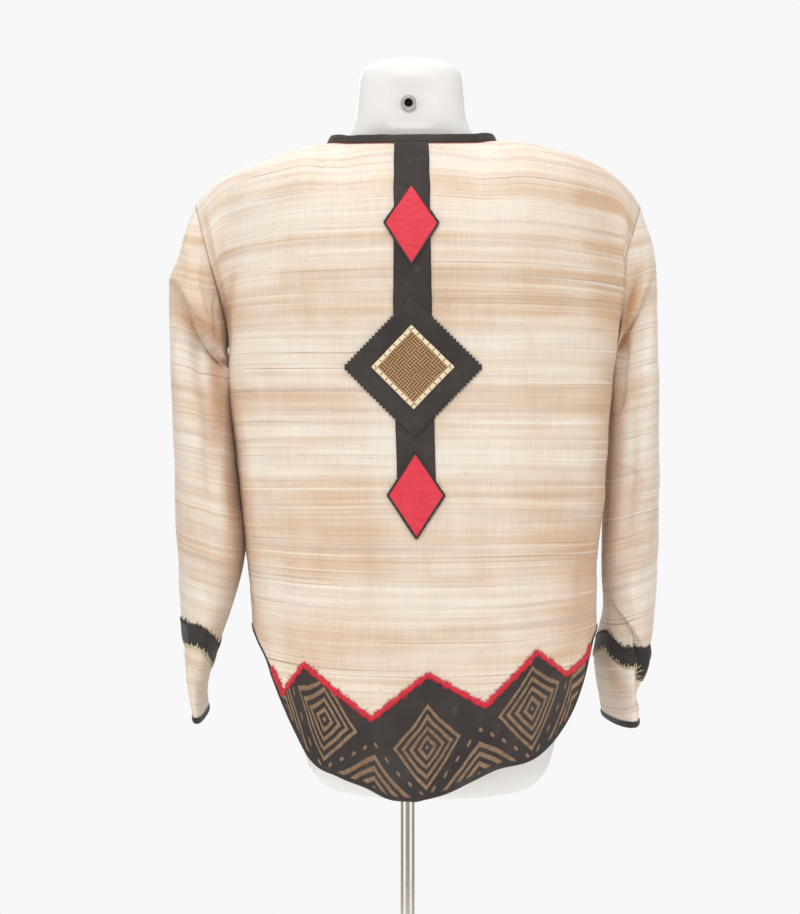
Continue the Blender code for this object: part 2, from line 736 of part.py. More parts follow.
def slanted(down, turn, side):
    """The cuff band, and the cloth rows near it, lie lower on the side next to the body."""
    band_at = LEFT_CUFF_BAND_AT if side == LEFT else RIGHT_CUFF_BAND_AT
    near = hump(down, band_at + CUFF_BAND / 2, CUFF_BAND_SLANT_REACH)
    last = sleeve_rings(side)[-1][0]
    return min(down + CUFF_BAND_SLANT * near * (1 - math.cos(turn)) / 2, last)


def build_trims(materials, collection):
    lift = WALL / 2 + TRIM_CLEAR + TRIM_WALL / 2
    rows = hem_rows(back_shares(), "back")
    cloth("hem_binding_back", shifted(rows, SEAM_GAP), BINDING_WALL, materials["binding"], collection)
    build_hem_band(materials, collection, lift)
    build_applique(materials, collection, lift)


def build_hem_band(materials, collection, lift):
    places = sorted(set(back_shares()) | {row[0] for row in ZIGZAG})
    places = [place for place in places if ZIGZAG[0][0] <= place <= ZIGZAG[-1][0]]
    rows = []
    for share in BAND_ROWS:
        row = []
        for place in places:
            side = LEFT if place >= 0 else RIGHT
            hem = hem_height(abs(place), side, "back")
            top = float(np.interp(place, [corner[0] for corner in ZIGZAG], [corner[1] for corner in ZIGZAG]))
            up = BAND_FOOT + (max(top - hem, BAND_LEAST) - BAND_FOOT) * share
            row.append(lifted(place, up / (UNDERARM_Z - hem), lift))
        rows.append(row)
    cloth("hem_band", shifted(rows, SEAM_GAP), TRIM_WALL, materials["black"], collection)


def build_applique(materials, collection, lift):
    """The strip down the back, the diamond with its patch, and the two lozenges, all laid on the cloth."""
    half_width = STRIP_HALF_WIDTH / half_girth(LEFT)
    lowest = STRIP_LOW_T + STRIP_ROW_STEP
    highest = STRIP_HIGH_T - STRIP_ROW_STEP
    between = [t for t in panel_rows() if lowest < t < highest]
    ts = [STRIP_LOW_T] + between + [STRIP_HIGH_T]
    rows = [[lifted(share * half_width, t, lift) for share in (-1, 0, 1)] for t in ts]
    cloth("back_strip", shifted(rows, SEAM_GAP), TRIM_WALL, materials["black"], collection)

    step = TRIM_WALL + TRIM_CLEAR
    rows = diamond(MEDALLION_SIDE, 6, MEDALLION_AT, lift + step)
    cloth("medallion", shifted(rows, SEAM_GAP), TRIM_WALL, materials["black"], collection)
    rows = diamond(PATCH_SIDE, 4, MEDALLION_AT, lift + 2 * step + SEAM_GAP)
    cloth("patch", shifted(rows, SEAM_GAP), TRIM_WALL, materials["patch"], collection)
    for name, (up, width, height, clear) in zip(("lozenge_upper", "lozenge_lower"), LOZENGES):
        rows = []
        for a in (-0.5, 0.0, 0.5):
            row = []
            for b in (-0.5, 0.0, 0.5):
                row.append(on_back((a - b) * width, up + (a + b) * height, lift + step + clear))
            rows.append(row)
        cloth(name, shifted(rows, SEAM_GAP), TRIM_WALL, materials["red"], collection)


def diamond(side_length, cells, up, lift):
    """Rows over a square that stands on its point on the back."""
    rows = []
    for i in range(cells + 1):
        a = (i / cells - 0.5) * side_length / math.sqrt(2)
        row = []
        for j in range(cells + 1):
            b = (j / cells - 0.5) * side_length / math.sqrt(2)
            row.append(on_back(a - b, up + a + b, lift))
        rows.append(row)
    return rows


def build_bindings(materials, collection):
    fronts = [EDGE_SHARE] + front_shares()[: FRONT_NECK_COLUMNS + 1]
    backs = half_shares(0.0, BACK_NECK_COLUMNS, 1)[:BACK_NECK_COLUMNS]
    path = [(share, RIGHT, "front") for share in fronts]
    path += [(share, RIGHT, "back") for share in backs[:0:-1]]
    path += [(share, LEFT, "back") for share in backs]
    path += [(share, LEFT, "front") for share in fronts[::-1]]
    rows = [[], []]
    for share, side, face in path:
        edge = panel_point(share, 2.0, side, face)
        way = off_edge(side * share, 2.0, face, 0.0, NECK_SHARE)
        inward = np.array([-edge[0], -edge[1], 0.0])
        inward /= np.linalg.norm(inward)
        stand = NECK_LEAN * inward + np.array([0.0, 0.0, 1.0])
        stand /= np.linalg.norm(stand)
        turned_in = float(np.linalg.norm(np.cross(way, stand)))
        foot = edge + way * (NECK_GAP + BINDING_WALL / 2 * turned_in)
        foot[1] += SEAM_GAP if face == "back" else -SEAM_GAP
        rows[0].append(foot)
        rows[1].append(foot + stand * (NECK_BINDING - SEAM_GAP))
    cloth("neck_binding", rows, BINDING_WALL, materials["binding"], collection)

    for name, side in (("left", LEFT), ("right", RIGHT)):
        edges = (EDGE_SHARE, FRONT_START - EDGE_SHARE)
        rows = [[panel_point(share, t, side, "front") for share in edges] for t in panel_rows()]
        black = materials["binding"]
        cloth("front_binding_" + name, shifted(rows, -SEAM_GAP), BINDING_WALL, black, collection)
        rows = hem_rows([side * share for share in front_shares()], "front")
        cloth("hem_binding_front_" + name, shifted(rows, -SEAM_GAP), BINDING_WALL, black, collection)


def build_form(materials, collection, cutters):
    points = []
    for row in FORM:
        ring = dict(zip(FORM_COLUMNS, row))
        for place in range(FORM_SIDES):
            turn = 2 * math.pi * place / FORM_SIDES
            power = 2 / ring["square"]
            across = math.copysign(abs(math.cos(turn)) ** power, math.cos(turn))
            along = math.copysign(abs(math.sin(turn)) ** power, math.sin(turn))
            depth = ring["back"] if along > 0 else ring["front"]
            x = ring["centre"] + ring["width"] * across
            points.append((x, depth * along, ring["z"] - ring["droop"] * across**2))
    faces = grid_faces(len(FORM), FORM_SIDES, True)
    faces.append(tuple(range(FORM_SIDES))[::-1])
    faces.append(tuple(range((len(FORM) - 1) * FORM_SIDES, len(FORM) * FORM_SIDES)))
    form = new_object("form", points, faces, materials["form"], collection)
    for polygon in form.data.polygons:
        polygon.use_smooth = True

    cutter_mesh = bpy.data.meshes.new("seat_cutter")
    shape = bmesh.new()
    bmesh.ops.create_cube(shape, size=1.0)
    bmesh.ops.scale(shape, vec=(SEAT_WIDTH, SEAT_CUT, SEAT_HEIGHT), verts=shape.verts)
    bmesh.ops.translate(shape, vec=(SEAT_X, SEAT_Y + SEAT_CUT / 2, SEAT_Z), verts=shape.verts)
    shape.to_mesh(cutter_mesh)
    shape.free()
    cutter = bpy.data.objects.new("seat_cutter", cutter_mesh)
    cutter.hide_render = True
    cutter.display_type = "WIRE"
    cutters.objects.link(cutter)
    cut = form.modifiers.new("Seat", "BOOLEAN")
    cut.operation = "DIFFERENCE"
    cut.solver = "EXACT"
    cut.object = cutter

    turned(
        "neck_socket",
        [
            (SOCKET_RADIUS, 0.0),
            (SOCKET_RADIUS, SOCKET_LENGTH),
            (SOCKET_BORE, SOCKET_LENGTH),
            (SOCKET_BORE, SOCKET_FLOOR),
        ],
        SOCKET_SIDES,
        materials["steel"],
        collection,
        Matrix.Translation((SOCKET_X, SEAT_Y + SEAM_GAP, SEAT_Z)) @ Matrix.Rotation(-math.pi / 2, 4, "X"),
    )


def turned(name, profile, sides, material, collection, place):
    """A solid of revolution about its own Z through (radius, height) rings, flat across its ends."""
    points = []
    for radius, height in profile:
        for step in range(sides):
            turn = 2 * math.pi * step / sides
            points.append((radius * math.cos(turn), radius * math.sin(turn), height))
    rings = len(profile)
    faces = grid_faces(rings, sides, True)
    faces.append(tuple(range(sides))[::-1])
    faces.append(tuple(range((rings - 1) * sides, rings * sides)))
    obj = new_object(name, points, faces, material, collection)
    obj.data.transform(place)
    for polygon in obj.data.polygons:
        polygon.use_smooth = True
    obj.data.set_sharp_from_angle(angle=math.radians(30))
    return obj


def build_stand(materials, collection):
    foot = BASE_THICKNESS
    turned(
        "base",
        [
            (BASE_RADIUS - BASE_EDGE, 0.0),
            (BASE_RADIUS, BASE_EDGE),
            (BASE_RADIUS, foot - BASE_EDGE),
            (BASE_RADIUS - BASE_EDGE, foot),
            (COLLAR_RADIUS + COLLAR_EDGE, foot),
            (COLLAR_RADIUS, foot + COLLAR_EDGE),
            (COLLAR_RADIUS, foot + COLLAR_HEIGHT - COLLAR_EDGE),
            (COLLAR_RADIUS - COLLAR_EDGE, foot + COLLAR_HEIGHT),
        ],
        BASE_SIDES,
        materials["steel"],
        collection,
        Matrix.Identity(4),
    )
    low = foot + COLLAR_HEIGHT + SEAM_GAP
    high = FORM[0][0] - SEAM_GAP
    turned(
        "pole",
        [(POLE_RADIUS, low), (POLE_RADIUS, high)],
        POLE_SIDES,
        materials["steel"],
        collection,
        Matrix.Identity(4),
    )


def main():
    for obj in list(bpy.data.objects):
        bpy.data.objects.remove(obj)
    collection = bpy.data.collections.new("worn_silk_jacket")
    cutters = bpy.data.collections.new("cutters")
    cutters.hide_render = True
    bpy.context.scene.collection.children.link(collection)
    bpy.context.scene.collection.children.link(cutters)
    materials = {
        "silk": new_material("slub_silk", (0.78, 0.66, 0.52), 0.55),
        "black": new_material("black_cotton", (0.035, 0.03, 0.03), 0.85),
        "binding": new_material("black_binding", (0.03, 0.027, 0.028), 0.7),
        "patch": new_material("tan_patch", (0.62, 0.48, 0.30), 0.8),
        "red": new_material("red_cloth", (0.80, 0.04, 0.07), 0.7),
        "form": new_material("white_form", (0.86, 0.85, 0.83), 0.45),
        "steel": new_material("bright_steel", (0.62, 0.61, 0.60), 0.25, metallic=1.0),
    }
    build_panels(materials, collection)
    build_sleeves(materials, collection)
    build_trims(materials, collection)
    build_bindings(materials, collection)
    build_form(materials, collection, cutters)
    build_stand(materials, collection)


main()
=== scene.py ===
"""The looks of a slub-silk jacket on its dress form: cloth, folds, trims, stitching and a studio.

Metres, +Z up, in the part's own frame. The wearer faces -Y, so the photographed back faces +Y and
the wearer's left is +X. A place on the body is a share of the way round from the centre line to
the side seam, + on the wearer's left, and t, which is 0 at the hem, 1 at the underarm and 2 at
the top. A place on a sleeve is a distance down from its seam and a turn from its outer edge
round the back.
"""

import math

import bmesh
import bpy
import numpy as np
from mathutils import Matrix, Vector


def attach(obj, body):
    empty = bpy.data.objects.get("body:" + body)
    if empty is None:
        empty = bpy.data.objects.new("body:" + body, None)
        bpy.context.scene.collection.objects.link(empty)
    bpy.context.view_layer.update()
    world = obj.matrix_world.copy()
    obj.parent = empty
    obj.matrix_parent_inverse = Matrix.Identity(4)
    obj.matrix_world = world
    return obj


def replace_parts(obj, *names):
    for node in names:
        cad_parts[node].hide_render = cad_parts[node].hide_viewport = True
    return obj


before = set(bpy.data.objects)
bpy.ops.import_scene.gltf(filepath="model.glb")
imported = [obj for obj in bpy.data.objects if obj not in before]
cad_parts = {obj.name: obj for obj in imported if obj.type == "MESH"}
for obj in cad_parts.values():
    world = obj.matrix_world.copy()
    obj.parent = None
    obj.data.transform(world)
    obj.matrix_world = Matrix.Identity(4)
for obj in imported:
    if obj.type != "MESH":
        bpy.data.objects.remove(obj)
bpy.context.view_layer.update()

LEFT = 1
RIGHT = -1
SIDES = (("left", LEFT), ("right", RIGHT))

# The jacket's sizes. They are the solids', but for a squarer left back, a deeper break, a left
# sleeve that hangs closer to the body and sleeves whose inner edges are set further back.
UNDERARM_Z = 1.240
SIDE_VENT_Z = 0.900
TAIL_DROP = 0.2000
FRONT_TAIL_DROP = 0.1700
BACK_NECK_Z = 1.4785
FRONT_NECK_Z = 1.3950
BACK_NECK_Y = 0.0640
FRONT_NECK_Y = -0.0980
SHOULDER_SEAM_Y = -0.0050
NECK_SHARE = 0.37
FRONT_START = 0.030
BODY_COLUMNS = ("z", "left", "right", "tuck", "back", "front", "centre")
BODY = (
    (0.660, 0.1970, 0.2180, 0.010, 0.1495, 0.1440, -0.0080),
    (0.800, 0.1975, 0.2185, 0.010, 0.1490, 0.1435, -0.0100),
    (0.900, 0.1983, 0.2190, 0.012, 0.1470, 0.1420, -0.0100),
    (0.985, 0.2063, 0.2205, 0.013, 0.1440, 0.1400, -0.0098),
    (1.050, 0.2127, 0.2296, 0.015, 0.1405, 0.1370, -0.0094),
    (1.110, 0.2173, 0.2346, 0.016, 0.1370, 0.1340, -0.0080),
    (1.170, 0.2230, 0.2418, 0.018, 0.1330, 0.1300, -0.0060),
    (1.240, 0.2228, 0.2519, 0.019, 0.1280, 0.1250, -0.0040),
)
LEFT_BACK_SQUARE = 3.1
RIGHT_BACK_SQUARE = 3.6
FRONT_SQUARE = 2.5
TUCK_Y = 0.060
TUCK_CURVE = 1.5
NECK_ROUNDNESS = 2.2
FRONT_NECK_DIP = 1.8
# Folds hanging in the lower body: share of the way round, reach, depth.
BACK_FOLDS = (
    (0.30, 0.07, 0.0040),
    (0.17, 0.06, -0.0042),
    (-0.36, 0.08, 0.0034),
    (-0.56, 0.07, -0.0036),
    (0.62, 0.08, 0.0032),
)
FRONT_WAVE = 0.004
FRONT_WAVES = 9.0
FOLDS_TOP_Z = 1.22
FOLDS_FADE = 0.35
# The curve over the shoulder: its powers at the centre and how they change toward the seam.
SEAM_EASE_FROM = 0.26
SEAM_EASE = 0.24
SHOULDER_POWER = 2.9
SHOULDER_POWER_CHANGE = 0.5
SHOULDER_ROOT_CHANGE = 2.4
RISE_CROWDING = 2.5
ARMHOLE_FROM = 0.80
ARMHOLE_BOW_SKEW = 1.15
WING = 0.012
WING_AT = 0.87
WING_REACH = 0.075
WING_SKEW = 0.9
# Sleeves: the break's lip and swelling, the end that is cut blunt, and waves round and down.
BREAK_STEP = 0.011
BREAK_LIP = 0.06
BREAK_LIP_REACH = 0.006
BREAK_SWELL_REACH = 0.022
BLUNT_BELOW = 0.033
INNER_BACKSET = 0.022
SLEEVE_WAVES = ((0.0028, 2.0, 5.0, 1.0), (0.0018, 3.0, -9.0, 0.0))
SLEEVE_WAVES_FROM = 0.10
SLEEVE_WAVES_TO = 0.46
# Small unevenness of the body's cloth: height and length.
BODY_RIPPLES = ((0.0007, 0.09), (0.00025, 0.022))
LEFT_SHOULDER = (
    (0.1000, 1.4845),
    (0.1400, 1.4733),
    (0.1640, 1.4645),
    (0.1920, 1.4570),
    (0.2150, 1.4470),
    (0.2370, 1.4342),
    (0.2510, 1.4213),
    (0.2615, 1.4095),
)
RIGHT_SHOULDER = (
    (0.1105, 1.4885),
    (0.1650, 1.4781),
    (0.1980, 1.4706),
    (0.2260, 1.4603),
    (0.2495, 1.4473),
    (0.2695, 1.4310),
    (0.2830, 1.4140),
    (0.2870, 1.4075),
)
ARMHOLE_BACK_BOW = 0.047
ARMHOLE_FRONT_BOW = 0.042
ARMHOLE_LEAN = 1.3
LEFT_HEM = (
    (0.00, 0.985),
    (0.11, 0.968),
    (0.19, 0.909),
    (0.30, 0.842),
    (0.42, 0.745),
    (0.48, 0.602),
    (0.56, 0.397),
    (0.64, 0.210),
    (0.73, 0.101),
    (0.91, 0.018),
    (1.00, 0.000),
)
RIGHT_HEM = (
    (0.00, 0.985),
    (0.11, 0.937),
    (0.20, 0.867),
    (0.28, 0.804),
    (0.45, 0.717),
    (0.52, 0.613),
    (0.58, 0.484),
    (0.63, 0.340),
    (0.70, 0.125),
    (0.80, 0.030),
    (1.00, 0.000),
)
RING_COLUMNS = ("down", "out_x", "out_z", "in_x", "in_z", "mid_y", "depth", "twist")
LEFT_RINGS = (
    (0.030, 0.2728, 1.3755, 0.2205, 1.2290, 0.002, 0.056, 0.0),
    (0.060, 0.2812, 1.3450, 0.2186, 1.2180, 0.002, 0.066, 0.0),
    (0.085, 0.2918, 1.3165, 0.2183, 1.2080, 0.000, 0.074, 0.0),
    (0.098, 0.2922, 1.3000, 0.2128, 1.2000, 0.000, 0.076, 0.0),
    (0.140, 0.2915, 1.2550, 0.2142, 1.1750, 0.000, 0.081, 0.0),
    (0.200, 0.2895, 1.1900, 0.2128, 1.1350, 0.000, 0.084, 0.0),
    (0.280, 0.2862, 1.1000, 0.2072, 1.0700, 0.000, 0.086, 0.0),
    (0.370, 0.2828, 1.0000, 0.1990, 0.9850, 0.000, 0.086, 0.0),
    (0.440, 0.2785, 0.9250, 0.2145, 0.9200, 0.000, 0.085, 0.0),
    (0.485, 0.2752, 0.8800, 0.2300, 0.8760, 0.000, 0.084, 0.0),
    (0.525, 0.2702, 0.8400, 0.2425, 0.8380, 0.000, 0.083, 0.0),
    (0.555, 0.2638, 0.8120, 0.2495, 0.8100, 0.000, 0.081, 0.0),
    (0.580, 0.2590, 0.7870, 0.2488, 0.7850, 0.000, 0.079, 0.0),
)
RIGHT_RINGS = (
    (0.030, -0.2980, 1.3755, -0.2430, 1.2240, -0.014, 0.052, 0.0),
    (0.058, -0.3052, 1.3460, -0.2440, 1.2130, -0.017, 0.061, 0.0),
    (0.076, -0.3070, 1.3250, -0.2446, 1.2040, -0.018, 0.067, 0.0),
    (0.110, -0.3078, 1.2950, -0.2450, 1.1850, -0.020, 0.075, 0.0),
    (0.170, -0.3088, 1.2350, -0.2455, 1.1500, -0.020, 0.082, 0.0),
    (0.240, -0.3098, 1.1700, -0.2445, 1.1050, -0.020, 0.084, 0.0),
    (0.330, -0.3090, 1.0700, -0.2415, 1.0400, -0.020, 0.085, 0.0),
    (0.425, -0.3048, 0.9700, -0.2400, 0.9550, -0.018, 0.085, 0.0),
    (0.475, -0.3010, 0.9190, -0.2430, 0.9100, -0.014, 0.084, 4.0),
    (0.540, -0.2922, 0.8540, -0.2330, 0.8530, -0.010, 0.082, 11.0),
    (0.580, -0.2840, 0.8165, -0.2392, 0.8140, -0.008, 0.080, 11.0),
    (0.615, -0.2790, 0.7800, -0.2455, 0.7800, -0.006, 0.078, 8.0),
)
LEFT_BREAK = 0.085
RIGHT_BREAK = 0.060
BREAK_HOLLOW = 0.27
BREAK_LENGTH = 0.080
CUFF_BAND = 0.0260
LEFT_CUFF_BAND_AT = 0.464
RIGHT_CUFF_BAND_AT = 0.522
STRIP_HALF_WIDTH = 0.0225
STRIP_LOW_T = 0.640
STRIP_HIGH_T = 1.990
MEDALLION_AT = -0.035
MEDALLION_SIDE = 0.1180
PATCH_SIDE = 0.0700
LOZENGES = (("lozenge_upper", 0.135), ("lozenge_lower", -0.185))
LOZENGE_WIDTH = 0.034
LOZENGE_HEIGHT = 0.050
COLUMN_LENGTH = 0.251
ZIGZAG = (
    (-0.69, 0.8690),
    (-0.56, 0.8441),
    (-0.44, 0.8722),
    (-0.25, 0.8102),
    (-0.04, 0.8463),
    (0.18, 0.7939),
    (0.45, 0.8578),
    (0.55, 0.8213),
    (0.61, 0.8420),
)
FORM_COLUMNS = ("z", "droop", "centre", "width", "back", "front", "square")
FORM = (
    (0.6890, 0.000, -0.0260, 0.0950, 0.068, 0.068, 2.2),
    (0.6960, 0.000, -0.0260, 0.1280, 0.096, 0.092, 2.2),
    (0.7200, 0.000, -0.0260, 0.1480, 0.114, 0.106, 2.2),
    (0.7800, 0.000, -0.0240, 0.1630, 0.122, 0.112, 2.2),
    (0.8500, 0.000, -0.0220, 0.1680, 0.122, 0.112, 2.2),
    (0.9300, 0.000, -0.0180, 0.1620, 0.112, 0.108, 2.2),
    (1.0200, 0.000, -0.0140, 0.1460, 0.098, 0.102, 2.2),
    (1.0900, 0.000, -0.0120, 0.1420, 0.094, 0.100, 2.2),
    (1.1700, 0.000, -0.0100, 0.1530, 0.100, 0.106, 2.2),
    (1.2500, 0.000, -0.0080, 0.1670, 0.108, 0.112, 2.2),
    (1.3300, 0.002, -0.0080, 0.1740, 0.102, 0.100, 2.2),
    (1.3950, 0.010, -0.0060, 0.1750, 0.088, 0.082, 2.1),
    (1.4300, 0.012, -0.0050, 0.1735, 0.073, 0.064, 1.9),
    (1.4555, 0.008, -0.0050, 0.1680, 0.062, 0.052, 1.8),
    (1.4698, 0.0040, -0.0050, 0.1600, 0.053, 0.043, 1.7),
    (1.4768, 0.0078, -0.0050, 0.1440, 0.044, 0.035, 1.6),
    (1.4828, 0.0125, -0.0050, 0.1180, 0.038, 0.028, 1.5),
    (1.4890, 0.0130, -0.0045, 0.0920, 0.041, 0.029, 1.4),
    (1.4990, 0.002, -0.0040, 0.0760, 0.044, 0.042, 2.0),
    (1.5160, 0.000, -0.0040, 0.0665, 0.045, 0.044, 2.2),
    (1.5600, 0.000, -0.0040, 0.0635, 0.046, 0.046, 2.2),
    (1.5750, 0.000, -0.0040, 0.0600, 0.043, 0.043, 2.2),
    (1.5840, 0.000, -0.0040, 0.0480, 0.034, 0.034, 2.2),
    (1.5875, 0.000, -0.0040, 0.0280, 0.020, 0.020, 2.2),
)
SEAT_WIDTH = 0.074
SEAT_HEIGHT = 0.052
SEAT_Z = 1.5290
SEAT_X = -0.011
SEAT_Y = 0.0405
SOCKET_X = -0.001
SOCKET_BORE = 0.0052

# Cloth walls as they show, and how far each layer lies off the silk's middle.
SILK_WALL = 0.0012
BINDING_WALL = 0.0007
SEAM_ALLOWANCE = 0.0040
SLEEVE_RADIUS = 0.055
TRIM_WALL = 0.0009
TRIM_LIFT = 0.0015
LAYER = 0.0013

# How finely the shells are divided.
BACK_HALF_COLUMNS = 94
FRONT_COLUMNS = 84
LOWER_ROWS = 145
UPPER_ROWS = 74
SLEEVE_SIDES = 150
SLEEVE_ROWS = 196
# The rows at which the back's and a sleeve's width are taken.
BACK_GIRTH_ROW = 108
SLEEVE_GIRTH_ROW = 72
# A sleeve's mean radius as a share of its width from front to back.
SLEEVE_GIRTH_SHARE = 0.42
PROFILE_STEPS = 220

# Folds in the back beyond the solids' own: X and Z of both ends, width, depth. A ridge has a
# negative depth.
BACK_CREASES = (
    (0.086, 1.080, 0.076, 0.850, 0.016, 0.0046),
    (0.052, 1.070, 0.046, 0.860, 0.014, -0.0034),
    (0.030, 1.050, 0.026, 0.880, 0.012, 0.0026),
    (0.128, 0.990, 0.112, 0.800, 0.018, -0.0034),
    (0.165, 1.090, 0.150, 0.860, 0.016, 0.0044),
    (0.192, 1.225, 0.120, 1.130, 0.018, 0.0030),
    (0.196, 1.160, 0.176, 1.010, 0.012, -0.0028),
    (-0.040, 1.020, -0.052, 0.800, 0.018, 0.0030),
    (-0.105, 1.080, -0.118, 0.840, 0.018, -0.0032),
    (-0.150, 1.070, -0.160, 0.850, 0.017, 0.0048),
    (-0.186, 1.030, -0.188, 0.870, 0.011, -0.0036),
    (-0.206, 1.010, -0.206, 0.880, 0.008, 0.0036),
    (-0.222, 1.240, -0.140, 1.110, 0.020, 0.0030),
    (-0.180, 1.330, -0.232, 1.240, 0.014, 0.0022),
    (0.140, 1.410, 0.200, 1.300, 0.016, 0.0026),
    (0.090, 1.440, 0.150, 1.360, 0.016, 0.0018),
    (-0.090, 1.445, -0.160, 1.370, 0.016, 0.0018),
)
FRONT_CREASES = (
    (0.060, 1.300, 0.120, 1.180, 0.020, 0.0040),
    (0.130, 1.240, 0.150, 1.050, 0.016, -0.0034),
    (0.090, 1.100, 0.098, 0.800, 0.018, 0.0042),
    (0.050, 1.050, 0.056, 0.780, 0.016, -0.0032),
    (0.150, 1.040, 0.146, 0.800, 0.016, 0.0036),
    (0.190, 1.230, 0.110, 1.120, 0.018, 0.0030),
)
# Folds in the sleeves: distance down and turn in degrees of both ends, width, depth.
LEFT_SLEEVE_CREASES = (
    (0.010, 60, 0.082, 118, 0.008, -0.0036),
    (0.022, 126, 0.080, 138, 0.007, 0.0070),
    (0.040, 160, 0.090, 162, 0.009, 0.0030),
    (0.000, 108, 0.040, 128, 0.006, 0.0034),
    (0.100, 46, 0.330, 58, 0.015, -0.0040),
    (0.092, 98, 0.370, 104, 0.018, 0.0120),
    (0.180, 132, 0.420, 128, 0.014, -0.0036),
    (0.320, 74, 0.450, 118, 0.012, 0.0040),
    (0.450, 60, 0.570, 96, 0.010, -0.0026),
    (0.100, 250, 0.340, 262, 0.016, 0.0070),
    (0.120, 290, 0.380, 300, 0.015, -0.0040),
    (0.380, 240, 0.520, 285, 0.012, 0.0036),
)
RIGHT_SLEEVE_CREASES = (
    (0.010, 50, 0.055, 100, 0.008, -0.0030),
    (0.010, 112, 0.052, 138, 0.007, 0.0050),
    (0.058, 116, 0.190, 146, 0.014, 0.0170),
    (0.100, 60, 0.300, 74, 0.016, -0.0030),
    (0.210, 104, 0.420, 100, 0.016, 0.0042),
    (0.380, 52, 0.460, 118, 0.012, -0.0030),
    (0.470, 168, 0.600, 150, 0.009, -0.0060),
    (0.090, 250, 0.320, 262, 0.016, 0.0070),
    (0.140, 296, 0.400, 290, 0.015, -0.0040),
    (0.430, 240, 0.560, 292, 0.012, 0.0040),
)
# Painted shade: darker warm patches painted into the silk to stand for the shade under folds and along the
# armholes. X and Z of both ends, half width, strength.
BACK_PAINTED_SHADES = (
    (-0.2520, 1.2600, -0.2300, 1.0000, 0.030, 0.42),
    (-0.2180, 1.0200, -0.2080, 0.8700, 0.060, 0.50),
    (0.2140, 1.2000, 0.1880, 0.9600, 0.020, 0.34),
    (0.2090, 1.3250, 0.2140, 1.2700, 0.010, 0.26),
    (0.2470, 1.3980, 0.2125, 1.2500, 0.006, 0.50),
    (-0.2700, 1.3900, -0.2380, 1.1000, 0.004, 0.55),
)
LEFT_SLEEVE_PAINTED_SHADES = (
    (0.2720, 1.2750, 0.2130, 1.2300, 0.020, 0.84),
    (0.2490, 1.3980, 0.2125, 1.2500, 0.006, 0.50),
    (0.2300, 1.2450, 0.2290, 1.0900, 0.019, 0.72),
    (0.2220, 1.2300, 0.2050, 0.9600, 0.017, 0.50),
    (0.2420, 1.3700, 0.2180, 1.3200, 0.010, 0.34),
)
RIGHT_SLEEVE_PAINTED_SHADES = (
    (-0.2790, 1.3250, -0.2570, 1.2150, 0.014, 0.86),
    (-0.2540, 1.2300, -0.2420, 0.9600, 0.020, 0.50),
    (-0.2700, 1.1000, -0.2640, 0.9600, 0.030, 0.26),
    (-0.2360, 0.8850, -0.2590, 0.8050, 0.015, 0.50),
)
# Where a sleeve's cloth laps over itself: both ends, steep width, soft width, depth.
LEFT_SLEEVE_LAPS = (
    (0.088, 6, 0.060, 160, 0.003, 0.060, 0.0105),
    (0.560, 150, 0.500, 40, 0.006, 0.030, 0.0030),
)
RIGHT_SLEEVE_LAPS = (
    (0.590, 8, 0.440, 166, 0.0045, 0.075, 0.0150),
    (0.330, 62, 0.250, 150, 0.006, 0.040, 0.0036),
)
# How much lower the cuff bands lie at each turn in degrees.
LEFT_CUFF_SLANT = ((0, 0.0), (96, 0.0), (180, 0.030), (264, 0.004), (360, 0.0))
RIGHT_CUFF_SLANT = (
    (0, 0.020),
    (30, 0.020),
    (62, 0.0),
    (136, 0.0),
    (170, -0.022),
    (230, -0.006),
    (360, 0.020),
)

# The woven bands of the silk by height, from pale, 0, to tan, 1.
SILK_LOW = 0.680
SILK_HIGH = 1.520
SILK_BANDS = (
    (0.700, 0.30),
    (0.800, 0.20),
    (0.835, 0.32),
    (0.862, 0.46),
    (0.886, 0.50),
    (0.912, 0.30),
    (0.930, 0.06),
    (0.946, 0.16),
    (0.962, 0.58),
    (1.003, 0.60),
    (1.040, 0.50),
    (1.070, 0.42),
    (1.089, 0.08),
    (1.112, 0.16),
    (1.138, 0.24),
    (1.160, 0.52),
    (1.178, 0.62),
    (1.193, 0.22),
    (1.220, 0.08),
    (1.243, 0.18),
    (1.263, 0.56),
    (1.283, 0.74),
    (1.302, 0.52),
    (1.318, 0.60),
    (1.332, 0.32),
    (1.347, 0.22),
    (1.358, 0.70),
    (1.372, 0.18),
    (1.402, 0.14),
    (1.432, 0.66),
    (1.450, 0.20),
)


def srgb(red, green, blue):
    """A colour given as it looks on a screen, 0 to 255, for a shader."""
    made = []
    for value in (red, green, blue):
        value /= 255
        made.append(value / 12.92 if value <= 0.04045 else ((value + 0.055) / 1.055) ** 2.4)
    return (*made, 1.0)


CREAM = srgb(242, 227, 213)
TAN = srgb(212, 178, 146)
GREY_BROWN = srgb(158, 132, 112)
MAUVE = srgb(200, 178, 166)
# The shadow tan that painted shade is mixed toward.
PAINTED_SHADE = srgb(190, 142, 102)
PALE = srgb(250, 243, 233)


# Curves.
def through(value, stations, heights):
    """A smooth curve through the stations, level with the end ones beyond them."""
    stations = np.asarray(stations, dtype=float)
    heights = np.asarray(heights, dtype=float)
    slopes = np.gradient(heights, stations)
    value = np.clip(np.asarray(value, dtype=float), stations[0], stations[-1])
    place = np.clip(np.searchsorted(stations, value) - 1, 0, len(stations) - 2)
    step = stations[place + 1] - stations[place]
    share = (value - stations[place]) / step
    low = 2 * share**3 - 3 * share**2 + 1
    low_slope = share**3 - 2 * share**2 + share
    high_slope = share**3 - share**2
    return (
        low * heights[place]
        + low_slope * step * slopes[place]
        + (1 - low) * heights[place + 1]
        + high_slope * step * slopes[place + 1]
    )


def column(table, names, name):
    return [row[names.index(name)] for row in table]


def body_size(name, z):
    return through(z, column(BODY, BODY_COLUMNS, "z"), column(BODY, BODY_COLUMNS, name))


def ease(share):
    """0 up to 0, 1 from 1 on, and a soft rise between."""
    share = np.clip(share, 0.0, 1.0)
    return share * share * (3 - 2 * share)


